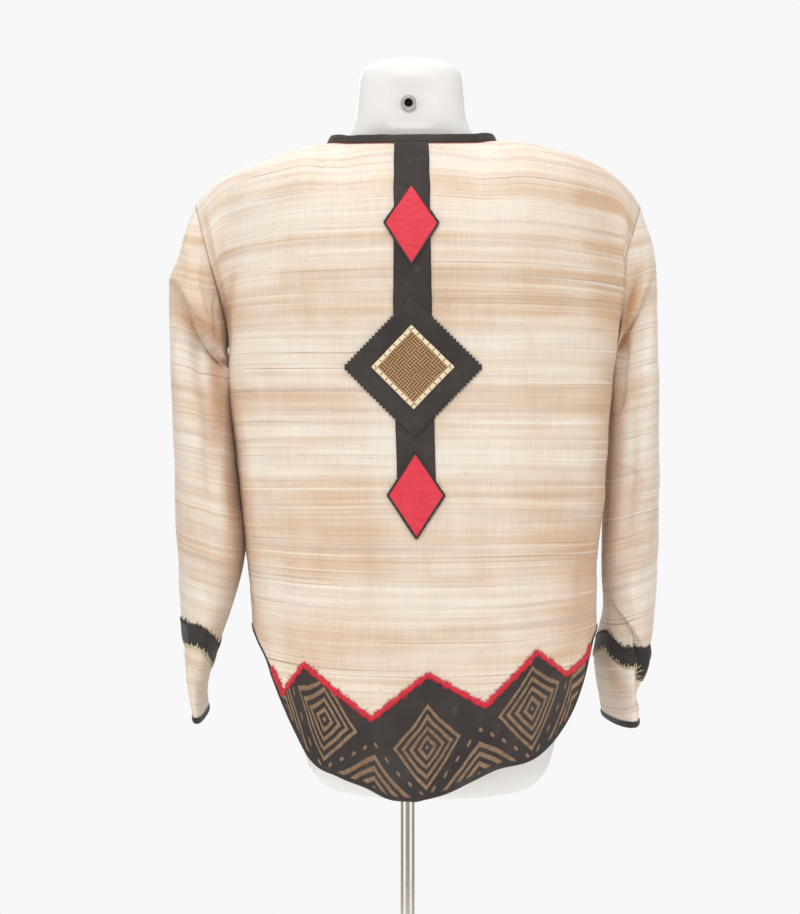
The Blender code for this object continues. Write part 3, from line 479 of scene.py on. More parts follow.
def hump(value, centre, reach):
    return np.exp(-(((value - centre) / reach) ** 2))


def run_length(points):
    """How far along a run each of its points lies."""
    return np.concatenate([[0.0], np.cumsum(np.linalg.norm(np.diff(points, axis=0), axis=1))])


def by_arc(points, shares):
    """The points at these shares of the way along a run of points."""
    arc = run_length(points)
    places = np.atleast_1d(shares) * arc[-1]
    return np.stack([np.interp(places, arc, points[:, axis]) for axis in range(points.shape[1])], axis=-1)


def smooth(points, times):
    """Draws each inner point toward its neighbours."""
    for _ in range(times):
        points[1:-1] = 0.25 * points[:-2] + 0.5 * points[1:-1] + 0.25 * points[2:]


def unit(vectors):
    return vectors / np.maximum(np.linalg.norm(vectors, axis=-1, keepdims=True), 1e-12)


def ripple(u, v, seed, length, waves=11):
    """An irregular, gentle unevenness between about -1 and 1."""
    random = np.random.default_rng(seed)
    total = 0.0
    for _ in range(waves):
        heading = random.uniform(0, math.pi)
        stretch = length * random.uniform(0.5, 1.7)
        phase = random.uniform(0, 2 * math.pi)
        along = u * math.cos(heading) + v * math.sin(heading)
        total = total + np.sin(2 * math.pi * along / stretch + phase)
    return total / (1.4 * math.sqrt(waves))


def beside_line(x, z, line):
    """The share of the way along a line at which each point lies, and how far it is off it."""
    start_x, start_z, end_x, end_z = line
    run_x, run_z = end_x - start_x, end_z - start_z
    length = math.hypot(run_x, run_z)
    along = ((x - start_x) * run_x + (z - start_z) * run_z) / length**2
    return along, ((x - start_x) * run_z - (z - start_z) * run_x) / length


def creases(x, z, table):
    """The depth at each point of soft, uneven troughs and ridges along straight lines."""
    total = np.zeros_like(x)
    for *line, width, depth in table:
        along, off = beside_line(x, z, line)
        off = off + 0.25 * width * np.sin(9 * along + 40 * line[0])
        along = np.clip(along, 0, 1)
        total -= depth * np.sin(math.pi * along) ** 0.8 * hump(off, 0.0, width * (0.7 + 0.5 * along))
    return total


def laps(x, z, table):
    """The depth where cloth laps over itself: a steep step beside each line and a slow return."""
    total = np.zeros_like(x)
    for *line, steep, soft, depth in table:
        along, off = beside_line(x, z, line)
        off = off + 0.004 * np.sin(5 * along)
        fade = ease(along / 0.12) * ease((1 - along) / 0.12)
        total -= depth * fade * ease(off / steep) * hump(np.maximum(off, 0.0), 0.0, soft)
    return total


# The body.
def section(share, z, side, face):
    """X and Y of the body at this share of the way round from the centre line to the side."""
    turn = np.linspace(0, math.pi / 2, PROFILE_STEPS)
    width = float(body_size("left" if side == LEFT else "right", z))
    tuck = float(body_size("tuck", z)) if side == RIGHT else 0.0
    if face == "back":
        square = LEFT_BACK_SQUARE if side == LEFT else RIGHT_BACK_SQUARE
    else:
        square = FRONT_SQUARE
        width -= tuck
    across = width * np.sin(turn) ** (2 / square)
    depth = float(body_size(face, z)) * np.cos(turn) ** (2 / square)
    if face == "back" and side == RIGHT:
        behind = np.clip(1 - depth / TUCK_Y, 0, 1)
        across = across - tuck * behind**TUCK_CURVE
    if face == "front":
        depth = -depth
    x, y = by_arc(np.column_stack([across, depth]), share)[0]
    return float(body_size("centre", z)) + side * x, y


def hem_height(share, side, face):
    table = LEFT_HEM if side == LEFT else RIGHT_HEM
    drop = TAIL_DROP if face == "back" else FRONT_TAIL_DROP
    return SIDE_VENT_Z - drop * through(share, *zip(*table))


def back_hem(places):
    """The height of the back's hem at these places, + on the wearer's left."""
    left, right = (hem_height(np.abs(places), side, "back") for side in (LEFT, RIGHT))
    return np.where(places >= 0, left, right)


def top_edge(share, side, face):
    """The panel's upper edge: the neckline, then the shoulder seam out to the sleeve."""
    line = LEFT_SHOULDER if side == LEFT else RIGHT_SHOULDER
    corner, corner_z = line[0]
    if share >= NECK_SHARE:
        x = corner + (line[-1][0] - corner) * (share - NECK_SHARE) / (1 - NECK_SHARE)
        z = float(through(x, *zip(*line)))
        return np.array([side * x, SHOULDER_SEAM_Y, z])
    inward = share / NECK_SHARE
    middle = float(body_size("centre", UNDERARM_Z))
    x = middle + (side * corner - middle) * inward
    rise = math.sqrt(1 - inward**NECK_ROUNDNESS)
    neck_y = BACK_NECK_Y if face == "back" else FRONT_NECK_Y
    neck_z = BACK_NECK_Z if face == "back" else FRONT_NECK_Z
    fall = rise if face == "back" else rise**FRONT_NECK_DIP
    y = SHOULDER_SEAM_Y + (neck_y - SHOULDER_SEAM_Y) * rise
    return np.array([x, y, corner_z + (neck_z - corner_z) * fall])


def folds(share, side, face, z):
    """How far the lower body stands out from its section, in soft hanging folds."""
    fade = ease((FOLDS_TOP_Z - z) / FOLDS_FADE)
    if face == "front":
        wave = FRONT_WAVE * np.sin(FRONT_WAVES * share + 0.8 * side + 3.0 * z)
        return fade * math.sin(math.pi * share) * wave
    return fade * sum(depth * hump(side * share, at, reach) for at, reach, depth in BACK_FOLDS)


def panel_line(share, ts, side, face):
    """Points up one line of the body, from the hem at t 0 to the top at t 2."""
    ts = np.asarray(ts, dtype=float)
    hem = float(hem_height(share, side, face))
    coarse = np.linspace(0, 1, 15)
    heights = hem + (UNDERARM_Z - hem) * coarse
    track = np.array([section(share, z, side, face) for z in heights])
    lower = ts[ts <= 1]
    z = hem + (UNDERARM_Z - hem) * lower
    x = through(lower, coarse, track[:, 0])
    y = through(lower, coarse, track[:, 1])
    outward = folds(share, side, face, z)
    y = y + (outward if face == "back" else -outward)
    below = np.column_stack([x, y, z])
    start_x, start_y = track[-1]
    end = top_edge(share, side, face)
    toward_seam = float(ease((share - SEAM_EASE_FROM) / SEAM_EASE))
    power = SHOULDER_POWER + SHOULDER_POWER_CHANGE * toward_seam
    root = 1.0 + SHOULDER_ROOT_CHANGE * toward_seam
    rise = 1 - (1 - np.linspace(0, 1, PROFILE_STEPS)) ** RISE_CROWDING
    lean = rise**ARMHOLE_LEAN
    x = start_x + (end[0] - start_x) * lean
    y = end[1] + (start_y - end[1]) * (1 - rise**power) ** (1 / root)
    z = UNDERARM_Z + (end[2] - UNDERARM_Z) * rise
    bow = np.sin(math.pi * rise**ARMHOLE_BOW_SKEW) * float(ease((share - ARMHOLE_FROM) / (1 - ARMHOLE_FROM)))
    y = y + (ARMHOLE_BACK_BOW * bow if face == "back" else -ARMHOLE_FRONT_BOW * bow)
    if side == RIGHT and face == "back":
        x = x - WING * np.sin(math.pi * rise**WING_SKEW) * hump(share, WING_AT, WING_REACH)
    above = by_arc(np.column_stack([x, y, z]), ts[ts > 1] - 1)
    return np.concatenate([below, above])


class Surface:
    """A fine grid of points on a piece of cloth, which the trims and stitches are laid on."""

    def __init__(self, points, rows, columns, uv, closed=False):
        self.points = points
        self.rows = np.asarray(rows, dtype=float)
        self.columns = np.asarray(columns, dtype=float)
        self.uv = uv
        self.closed = closed
        self.find_normals()

    def find_normals(self):
        grid = self.points
        if self.closed:
            grid = np.concatenate([grid[:, -3:-1], grid, grid[:, 1:3]], axis=1)
        across = np.gradient(grid, axis=1)
        up = np.gradient(grid, axis=0)
        out = unit(np.cross(across, up))
        if self.closed:
            out = out[:, 2:-2]
        middle = 0.5 * (self.points.min(axis=(0, 1)) + self.points.max(axis=(0, 1)))
        facing = ((self.points - middle) * out)[..., :2].sum()
        if facing < 0:
            out = -out
        self.flipped = facing < 0
        self.normals = out

    def push(self, distance):
        """Moves every point out by its own distance."""
        self.points = self.points + self.normals * distance[..., None]
        self.find_normals()

    def blended(self, grid, column, row):
        """The grid's values at these columns and rows, blended from the four nearest."""
        column, row = np.broadcast_arrays(np.asarray(column, float), np.asarray(row, float))
        i = np.clip(np.searchsorted(self.rows, row) - 1, 0, len(self.rows) - 2)
        j = np.clip(np.searchsorted(self.columns, column) - 1, 0, len(self.columns) - 2)
        a = (row - self.rows[i]) / (self.rows[i + 1] - self.rows[i])
        b = (column - self.columns[j]) / (self.columns[j + 1] - self.columns[j])
        a, b = a[..., None], b[..., None]
        low = grid[i, j] * (1 - b) + grid[i, j + 1] * b
        high = grid[i + 1, j] * (1 - b) + grid[i + 1, j + 1] * b
        return low * (1 - a) + high * a

    def at(self, column, row, lift=0.0):
        """Points at these columns and rows, lifted off the cloth."""
        lift = np.asarray(lift, dtype=float)
        return self.blended(self.points, column, row) + self.out(column, row) * lift[..., None]

    def out(self, column, row):
        return unit(self.blended(self.normals, column, row))


def stripe_height(points, shares, arc_up):
    """Where on the woven cloth each point lies: its height in the silk's run of stripes."""
    z = points[..., 2]
    below = z - 0.030 * shares**2 * ease((1.05 - z) / 0.20)
    above = UNDERARM_Z + arc_up * (1 + 0.17 * shares**2)
    return np.where(arc_up > 0, above, below)


def body_surface(face, signed_shares, crease_table, seed):
    """The back or a front as one surface, with its folds."""
    ts = np.concatenate([np.linspace(0, 1, LOWER_ROWS + 1), 1 + np.linspace(0, 1, UPPER_ROWS + 1)[1:]])
    lines = [panel_line(abs(place), ts, LEFT if place >= 0 else RIGHT, face) for place in signed_shares]
    points = np.stack(lines, axis=1)
    steps = np.linalg.norm(np.diff(points, axis=0), axis=2)
    arc = np.concatenate([np.zeros((1, points.shape[1])), np.cumsum(steps, axis=0)])
    arc_up = arc - arc[LOWER_ROWS]
    shares = np.abs(signed_shares)[None, :] * np.ones_like(arc)
    u = run_length(points[LOWER_ROWS // 2])
    u = u - np.interp(0.0, signed_shares, u)
    v = stripe_height(points, shares, arc_up)
    uv = np.stack([u[None, :] * np.ones_like(v), v], axis=-1)
    surface = Surface(points, ts, signed_shares, uv)
    x, z = points[..., 0], points[..., 2]
    if face == "front":
        x = np.abs(x)
    depth = creases(x, z, crease_table)
    for place, (height, length) in enumerate(BODY_RIPPLES):
        depth += height * ripple(uv[..., 0], v, seed + place, length)
    side_fade = ease((1 - shares) / 0.10)
    top_fade = ease((2 - ts[:, None]) / 0.14)
    hem_fade = 0.35 + 0.65 * ease(ts[:, None] / 0.05)
    depth = depth * side_fade * top_fade * hem_fade
    if face == "front":
        depth = depth * ease((shares - FRONT_START) / 0.06)
    surface.push(depth)
    return surface


# The sleeves.
def sleeve_rings(side):
    return LEFT_RINGS if side == LEFT else RIGHT_RINGS


def sleeve_ring(row, turn):
    """A point on one sleeve ring. The turn runs from the outer edge round the back."""
    ring = dict(zip(RING_COLUMNS, row))
    out_x, out_z, in_x, in_z = ring["out_x"], ring["out_z"], ring["in_x"], ring["in_z"]
    twist = math.radians(ring["twist"]) * math.copysign(1, out_x)
    reach = abs(out_x - in_x) / 2
    thin = math.sqrt(reach**2 - (ring["depth"] * math.sin(twist)) ** 2) / math.cos(twist)
    blunt = 0.5 + 0.5 * min(thin / BLUNT_BELOW, 1.0)
    rounded = math.copysign(abs(math.cos(turn)) ** blunt, math.cos(turn))
    across = thin * rounded * math.copysign(1, out_x)
    along = ring["depth"] * math.sin(turn)
    x = (out_x + in_x) / 2 + across * math.cos(twist) + along * math.sin(twist)
    y = ring["mid_y"] + along * math.cos(twist) - across * math.sin(twist)
    y += INNER_BACKSET * ((1 - math.cos(turn)) / 2) ** 3
    z = (out_z + in_z) / 2 + (out_z - in_z) / 2 * math.cos(turn)
    return np.array([x, y, z])


def sleeve_line(downs, turn, side, seam):
    """Points down one line of a sleeve, from its seam to the cuff."""
    rings = sleeve_rings(side)
    stations = [0.0] + [row[0] for row in rings]
    track = np.array([seam] + [sleeve_ring(row, turn) for row in rings])
    points = np.stack([through(downs, stations, track[:, axis]) for axis in range(3)], axis=-1)
    edges = zip(column(rings, RING_COLUMNS, "out_x"), column(rings, RING_COLUMNS, "in_x"))
    middles = [0.5 * (seam[0] + track[1][0])] + [0.5 * (out_x + in_x) for out_x, in_x in edges]
    middle_x = through(downs, stations, middles)
    middle_y = through(downs, stations, [0.0] + column(rings, RING_COLUMNS, "mid_y"))
    past = downs - (LEFT_BREAK if side == LEFT else RIGHT_BREAK)
    under = ease(past / BREAK_STEP) * np.exp(-((past / BREAK_LENGTH) ** 2))
    lip = BREAK_LIP * hump(past, 0.0, BREAK_LIP_REACH)
    sunk = (BREAK_HOLLOW * under - lip) * abs(math.sin(turn)) ** 1.5
    swollen = -BREAK_LIP * hump(past, 0.0, BREAK_SWELL_REACH) * abs(math.sin(turn))
    sink = np.where(past <= 0, swollen, sunk)
    spoke = points[:, :2] - np.stack([middle_x, middle_y], axis=-1)
    fade = ease((downs - SLEEVE_WAVES_FROM) / 0.12) * (1 - 0.8 * ease((downs - SLEEVE_WAVES_TO) / 0.10))
    fade = fade * (1 - ((1 - math.cos(turn)) / 2) ** 3)
    wave = sum(
        height * np.sin(round_it * turn + down_it * downs + by_side * side)
        for height, round_it, down_it, by_side in SLEEVE_WAVES
    )
    points[:, 1] -= sink * (points[:, 1] - middle_y)
    points[:, :2] += unit(spoke) * (fade * wave)[:, None]
    return points


def by_turn(table):
    """A table with turns in degrees, with them as distances round a sleeve."""
    round_it = math.radians(1.0) * SLEEVE_RADIUS
    return [(row[0], row[1] * round_it, row[2], row[3] * round_it, *row[4:]) for row in table]


def sleeve_surface(side, back, front, crease_table, lap_table, seed):
    rings = sleeve_rings(side)
    last = rings[-1][0]
    downs = np.linspace(0, 1, SLEEVE_ROWS + 1) * last
    turns = np.linspace(0, 2 * math.pi, SLEEVE_SIDES + 1)
    lines = []
    for turn in turns:
        share = turn / math.pi
        seam = back.at(side, 2 - share) if share <= 1 else front.at(side, share)
        lines.append(sleeve_line(downs, turn, side, seam))
    points = np.stack(lines, axis=1)
    widest = np.ptp(points[SLEEVE_GIRTH_ROW, :, 1])
    u = np.minimum(turns, 2 * math.pi - turns) * widest * SLEEVE_GIRTH_SHARE
    v = points[..., 2] - 0.30 * (np.abs(points[..., 0]) - 0.25) * ease((downs[:, None] + 0.02) / 0.08)
    v = v + 0.0009 * ripple(u[None, :] * np.ones_like(v), v, seed + 5, 0.2)
    uv = np.stack([u[None, :] * np.ones_like(v), v], axis=-1)
    surface = Surface(points, downs, turns, uv, closed=True)
    across = turns[None, :] * SLEEVE_RADIUS * np.ones_like(v)
    along = downs[:, None] * np.ones_like(v)
    depth = creases(along, across, by_turn(crease_table)) + laps(along, across, by_turn(lap_table))
    depth = depth * ease((2 * math.pi - turns) / 0.5)[None, :]
    lively = ripple(np.cos(turns)[None, :] * 0.05 + 0 * v, along + 0.03 * np.sin(turns)[None, :], seed, 0.06)
    depth += 0.0008 * lively
    near_body = ((1 - np.cos(turns)) / 2) ** 8
    depth = depth * (1 - near_body)[None, :] * ease(along / 0.02)
    edge = along > last - 0.02
    depth = np.where(edge, 0.4 * depth, depth)
    depth -= 0.0013 * hump(along, 0.0, 0.0035)
    surface.push(depth)
    return surface


# Meshes.
def mesh_object(name, vertices, faces, material, loop_uv=None):
    mesh = bpy.data.meshes.new(name)
    mesh.from_pydata([tuple(point) for point in np.asarray(vertices, dtype=float)], [], faces)
    mesh.materials.append(material)
    if loop_uv is not None:
        layer = mesh.uv_layers.new(name="cloth")
        layer.data.foreach_set("uv", np.asarray(loop_uv, dtype=np.float32).ravel())
    mesh.polygons.foreach_set("use_smooth", [True] * len(mesh.polygons))
    mesh.update()
    obj = placed(name, mesh)
    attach(obj, "root")
    return obj


def grid_object(name, points, uv, material, wall=0.0, closed=False, flipped=False):
    """A sheet over a grid of points. A closed grid's last column lies on its first."""
    rows, columns = points.shape[:2]
    kept = columns - 1 if closed else columns
    i, j = np.meshgrid(np.arange(rows - 1), np.arange(columns - 1), indexing="ij")
    corners = [(i, j), (i, j + 1), (i + 1, j + 1), (i + 1, j)]
    if flipped:
        corners = corners[::-1]
    faces = np.stack([a * kept + b % kept for a, b in corners], axis=-1).reshape(-1, 4)
    loop_uv = np.stack([uv[a, b] for a, b in corners], axis=2).reshape(-1, 2)
    obj = mesh_object(name, points[:, :kept].reshape(-1, 3), faces.tolist(), material, loop_uv)
    if wall:
        solidify = obj.modifiers.new("Wall", "SOLIDIFY")
        solidify.thickness = wall
        solidify.offset = 0.0
        solidify.use_even_offset = False
    return obj


def cloth_object(name, surface, material):
    return grid_object(name, surface.points, surface.uv, material, SILK_WALL, flipped=surface.flipped)


def laid(name, surface, columns, rows, lift, material, uv=None):
    """A piece of cloth laid on a surface, over a grid of its columns and rows."""
    points = surface.at(columns, rows, lift)
    if uv is None:
        uv = surface.blended(surface.uv, columns, rows)
    across = points[1, 1] - points[1, 0]
    up = points[1, 0] - points[0, 0]
    out = surface.out(columns[0, 0], rows[0, 0])
    flipped = float(np.dot(np.cross(across, up), out)) < 0
    return grid_object(name, points, uv, material, TRIM_WALL, False, flipped)


def ring_faces(count, sides):
    """The faces of a tube of so many rings, with both its ends."""
    faces = []
    for ring in range(count - 1):
        for k in range(sides):
            low, high, after = ring * sides, (ring + 1) * sides, (k + 1) % sides
            faces.append((low + k, low + after, high + after, high + k))
    return faces + [tuple(range(sides))[::-1], tuple(range((count - 1) * sides, count * sides))]


def swept(name, middles, first, second, profile, material):
    """A closed cross-section along a run of points, each with its own two directions."""
    rings = middles[:, None] + profile[None, :, :1] * first[:, None] + profile[None, :, 1:] * second[:, None]
    along = run_length(middles)
    around = run_length(np.vstack([profile, profile[:1]]))
    count, sides = rings.shape[:2]
    loop_uv = []
    for low, high in zip(along[:-1], along[1:]):
        for near, far in zip(around[:-1], around[1:]):
            loop_uv += [(low, near), (low, far), (high, far), (high, near)]
    loop_uv += [(0.0, 0.0)] * (2 * sides)
    return outward(mesh_object(name, rings.reshape(-1, 3), ring_faces(count, sides), material, loop_uv))


def folded_strip(name, middles, first, second, profile, material, closed=False, sizes=1.0):
    """A strip of cloth folded over an edge, along a run of points with their own two directions."""
    profile = np.asarray(profile, dtype=float)
    sizes = np.ones(len(middles)) * sizes
    if closed:
        middles, first, second = (np.concatenate([run, run[:1]]) for run in (middles, first, second))
        sizes = np.append(sizes, sizes[0])
    reach = profile[:, None, 1:] * sizes[None, :, None]
    points = middles[None] + profile[:, None, :1] * first[None] + reach * second[None]
    uv = np.stack(np.meshgrid(run_length(middles), run_length(profile)), axis=-1)
    return grid_object(name, points, uv, material, BINDING_WALL, closed)


def outward(obj):
    """Turns a closed mesh right side out."""
    made = bmesh.new()
    made.from_mesh(obj.data)
    bmesh.ops.recalc_face_normals(made, faces=made.faces)
    made.to_mesh(obj.data)
    made.free()
    return obj


THREAD_SIDES = 5
# A stitch's share along, breadth and height at each ring.
THREAD_RINGS = ((0.0, 0.30, 0.0), (0.22, 1.0, 0.8), (0.78, 1.0, 0.8), (1.0, 0.30, 0.0))


def stitches(name, starts, ends, ups, width, material):
    """Short threads from each start to its end, arched and pointed, as one piece."""
    starts, ends, ups = np.asarray(starts), np.asarray(ends), unit(np.asarray(ups))
    along = ends - starts
    side = unit(np.cross(along, ups))
    rings = []
    for share, broad, high in THREAD_RINGS:
        for k in range(THREAD_SIDES):
            turn = 2 * math.pi * k / THREAD_SIDES + 0.3
            offset = side * (broad * width / 2 * math.cos(turn))
            offset = offset + ups * (broad * width * 0.36 * math.sin(turn) + high * width * 0.35)
            rings.append(starts + along * share + offset)
    points = np.stack(rings, axis=1).reshape(-1, 3)
    pattern = ring_faces(len(THREAD_RINGS), THREAD_SIDES)
    size = THREAD_SIDES * len(THREAD_RINGS)
    faces = [tuple(v + size * n for v in face) for n in range(len(starts)) for face in pattern]
    return outward(mesh_object(name, points, faces, material))


# Materials.
def new_material(name):
    material = bpy.data.materials.new(name)
    material.use_nodes = True
    return material, material.node_tree, material.node_tree.nodes["Principled BSDF"]


def node(tree, kind, inputs=None, **settings):
    made = tree.nodes.new(kind)
    for key, value in settings.items():
        setattr(made, key, value)
    for key, value in (inputs or {}).items():
        if isinstance(value, bpy.types.NodeSocket):
            tree.links.new(value, made.inputs[key])
        else:
            made.inputs[key].default_value = value
    return made


def calc(tree, operation, *values):
    made = node(tree, "ShaderNodeMath", dict(enumerate(values)), operation=operation)
    return made.outputs[0]


def product(tree, first, *others):
    for other in others:
        first = calc(tree, "MULTIPLY", first, other)
    return first


def apart(tree, value, middle):
    """How far a value is from this middle."""
    return calc(tree, "ABSOLUTE", calc(tree, "SUBTRACT", value, middle))


def ranged(tree, value, low, high, to_low=0.0, to_high=1.0):
    """The value's share of the way from low to high, kept within the ends."""
    inputs = {"Value": value, "From Min": low, "From Max": high, "To Min": to_low, "To Max": to_high}
    return node(tree, "ShaderNodeMapRange", inputs).outputs[0]


def mixed(tree, factor, first, second):
    made = node(tree, "ShaderNodeMix", data_type="RGBA")
    for index, value in ((0, factor), (6, first), (7, second)):
        if isinstance(value, bpy.types.NodeSocket):
            tree.links.new(value, made.inputs[index])
        else:
            made.inputs[index].default_value = value
    return made.outputs[2]


def cloth_axes(tree):
    """The cloth's own two axes in metres, from the mesh."""
    place = node(tree, "ShaderNodeUVMap", uv_map="cloth").outputs[0]
    split = node(tree, "ShaderNodeSeparateXYZ", {0: place})
    return split.outputs[0], split.outputs[1]


def streaks(tree, u, v, across, up, detail=2.0, offset=0.0):
    """Noise stretched along the weft: so many changes a metre across and up."""
    place = node(
        tree,
        "ShaderNodeCombineXYZ",
        {0: calc(tree, "MULTIPLY", u, across), 1: calc(tree, "MULTIPLY", v, up), 2: offset},
    )
    return lumps(tree, place.outputs[0], 1.0, detail)


def stripes(tree, value, pitch, low, high):
    """A stripe in each pitch of a value, between these distances from the pitch's middle."""
    turn = calc(tree, "FRACT", calc(tree, "DIVIDE", value, pitch))
    return ranged(tree, apart(tree, turn, 0.5), low, high)


def object_place(tree):
    return node(tree, "ShaderNodeTexCoord").outputs["Object"]


def lumps(tree, place, scale, detail):
    """Noise with so many changes a metre."""
    noise = node(tree, "ShaderNodeTexNoise", {"Vector": place, "Scale": scale, "Detail": detail})
    return noise.outputs["Fac"]


def darker(colour, share):
    return (*(share * value for value in colour[:3]), 1.0)


def finish(tree, shader, colour, height, distance, strength, settings):
    """Gives a material its colour, its relief and its plain settings."""
    tree.links.new(colour, shader.inputs["Base Color"])
    bump = node(tree, "ShaderNodeBump", {"Height": height, "Strength": strength, "Distance": distance})
    tree.links.new(bump.outputs[0], shader.inputs["Normal"])
    for key, value in settings.items():
        shader.inputs[key].default_value = value


def threads(tree, axis, pitch):
    """Round threads side by side, each this far from the next."""
    return calc(tree, "ABSOLUTE", calc(tree, "SINE", calc(tree, "MULTIPLY", axis, math.pi / pitch)))


def painted_shade_patch(tree, x, z, row):
    """A soft patch of painted shade along a line in X and Z: both ends, half width, strength."""
    start_x, start_z, end_x, end_z, width, strength = row
    run_x, run_z = end_x - start_x, end_z - start_z
    length = math.hypot(run_x, run_z)
    middle = (start_x * run_x + start_z * run_z) / length**2 + 0.5
    along = calc(tree, "MULTIPLY_ADD", z, run_z / length**2, -middle)
    along = calc(tree, "MULTIPLY_ADD", x, run_x / length**2, along)
    off = calc(tree, "MULTIPLY_ADD", z, -run_x / length, (start_z * run_x - start_x * run_z) / length)
    off = calc(tree, "MULTIPLY_ADD", x, run_z / length, off)
    near = node(
        tree,
        "ShaderNodeMapRange",
        {"Value": calc(tree, "ABSOLUTE", off), "From Min": width, "From Max": 0.0, "To Max": strength},
        interpolation_type="SMOOTHSTEP",
    )
    within = ranged(tree, calc(tree, "ABSOLUTE", along), 0.62, 0.26)
    return calc(tree, "MULTIPLY", near.outputs[0], within)


# Noises in the silk: changes a metre across and up, detail, and a place of its own in the noise.
SILK_NOISES = {
    "columns": (13.0, 2.4, 2.0, 3.0),
    "stripes": (1.7, 120.0, 2.0, 7.0),
    "fine": (4.5, 430.0, 3.0, 11.0),
    "warp": (520.0, 24.0, 2.0, 17.0),
    "weft": (60.0, 800.0, 2.0, 19.0),
    "clouds": (9.0, 40.0, 3.0, 23.0),
    "broken": (9.0, 40.0, 2.0, 29.0),
    "lines": (1.3, 330.0, 1.0, 31.0),
    "pales": (1.5, 230.0, 2.0, 37.0),
    "knots": (60.0, 700.0, 1.0, 41.0),
    "dusty": (1.3, 75.0, 2.0, 47.0),
}
SILK_STRAIGHT = ("columns", "warp", "weft", "knots")
SILK_BEND_NOISE = (2.0, 4.0, 2.0)
SILK_BEND = 0.010
SILK_TONES = (("clouds", 0.80), ("stripes", 1.05), ("fine", 0.70), ("columns", 0.40))
# Marks over the tone, in order: noise, where it starts and is full, strength, colour.
SILK_MARKS = (
    ("dusty", 0.54, 0.72, 0.55, MAUVE),
    ("lines", 0.62, 0.74, 0.62, GREY_BROWN),
    ("pales", 0.58, 0.74, 0.55, PALE),
    ("knots", 0.75, 0.81, 0.60, srgb(140, 114, 92)),
)
SILK_SURFACE = {
    "Specular IOR Level": 0.28,
    "Sheen Weight": 0.10,
    "Sheen Roughness": 0.45,
    "Subsurface Weight": 0.30,
    "Subsurface Radius": (1.0, 0.55, 0.30),
    "Subsurface Scale": 0.004,
}
SILK_RELIEF = (("stripes", 0.5), ("fine", 0.8), ("warp", 0.6), ("weft", 0.5))
SILK_WARP_PITCH = 0.0006
SILK_WEFT_PITCH = 0.0007


def band_ramp(tree, height):
    """The silk's woven bands at this height."""
    ramp = node(tree, "ShaderNodeValToRGB", {0: ranged(tree, height, SILK_LOW, SILK_HIGH)})
    ramp.color_ramp.interpolation = "EASE"
    elements = ramp.color_ramp.elements
    while len(elements) < len(SILK_BANDS):
        elements.new(0.5)
    for element, (z, shade) in zip(elements, SILK_BANDS):
        element.position = (z - SILK_LOW) / (SILK_HIGH - SILK_LOW)
        element.color = (shade, shade, shade, 1.0)
    return ramp.outputs[0]


def silk_material(name, offset, warmth, shades=(), painted_side_shade=0.0):
    """Slub silk: soft bands, upright clouds, uneven weft lines and a fine weave on the cloth's axes, with
    painted shade in patches and down one side where given.
    """
    material, tree, shader = new_material(name)
    u, v = cloth_axes(tree)
    bend = streaks(tree, u, v, *SILK_BEND_NOISE, offset)
    v_bent = calc(tree, "MULTIPLY_ADD", calc(tree, "SUBTRACT", bend, 0.5), SILK_BEND, v)
    noises = {}
    for noise_name, (across, up, detail, start) in SILK_NOISES.items():
        axis = v if noise_name in SILK_STRAIGHT else v_bent
        noises[noise_name] = streaks(tree, u, axis, across, up, detail, offset + start)
    uneven = ranged(tree, noises["columns"], 0.3, 0.7, 0.55, 1.10)
    tan = calc(tree, "MULTIPLY", band_ramp(tree, v_bent), uneven)
    for noise_name, amount in SILK_TONES:
        shift = calc(tree, "MULTIPLY_ADD", noises[noise_name], amount, -0.5 * amount)
        tan = calc(tree, "ADD", tan, shift)
    tan = calc(tree, "ADD", tan, warmth)
    # Painted shade: the back's right side is made darker and warmer, as it lies in shade.
    if painted_side_shade:
        tan = calc(tree, "ADD", tan, ranged(tree, u, -0.04, -0.26, 0.0, painted_side_shade))
    colour = mixed(tree, ranged(tree, tan, -0.05, 0.95), CREAM, TAN)
    # Painted shade: darker warm patches under folds and along the armholes, mixed into the silk's colour.
    if shades:
        split = node(tree, "ShaderNodeSeparateXYZ", {0: object_place(tree)})
        painted_shade_patches = [painted_shade_patch(tree, split.outputs[0], split.outputs[2], row) for row in shades]
        dark = painted_shade_patches[0]
        for patch_made in painted_shade_patches[1:]:
            dark = calc(tree, "MAXIMUM", dark, patch_made)
        dark = calc(tree, "MULTIPLY", dark, ranged(tree, noises["stripes"], 0.25, 0.75, 1.15, 0.75))
        colour = mixed(tree, dark, colour, PAINTED_SHADE)
    for mark, low, high, strength, tint in SILK_MARKS:
        shown = ranged(tree, noises[mark], low, high, 0.0, strength)
        if mark == "lines":
            shown = calc(tree, "MULTIPLY", shown, ranged(tree, noises["broken"], 0.34, 0.56))
        colour = mixed(tree, shown, colour, tint)
    weave = calc(
        tree,
        "MULTIPLY",
        ranged(tree, noises["warp"], 0.3, 0.7, 0.950, 1.030),
        ranged(tree, noises["weft"], 0.3, 0.7, 0.970, 1.020),
    )
    shaded = node(tree, "ShaderNodeVectorMath", {0: colour, 1: weave}, operation="MULTIPLY")
    height = product(tree, threads(tree, v, SILK_WEFT_PITCH), threads(tree, u, SILK_WARP_PITCH), 0.35)
    for noise_name, amount in SILK_RELIEF:
        height = calc(tree, "MULTIPLY_ADD", noises[noise_name], amount, height)
    # The last marks shown, the knots, stand up from the cloth.
    height = calc(tree, "MULTIPLY_ADD", shown, 0.9, height)
    finish(tree, shader, shaded.outputs[0], height, 0.0004, 0.5, SILK_SURFACE)
    tree.links.new(ranged(tree, noises["fine"], 0.2, 0.8, 0.66, 0.52), shader.inputs["Roughness"])
    return material


COTTON_SURFACE = {
    "Roughness": 0.82,
    "Specular IOR Level": 0.25,
    "Sheen Weight": 0.12,
    "Sheen Roughness": 0.4,
}
COTTON_PITCH = 0.0005
COTTON_RELIEF = 0.0003


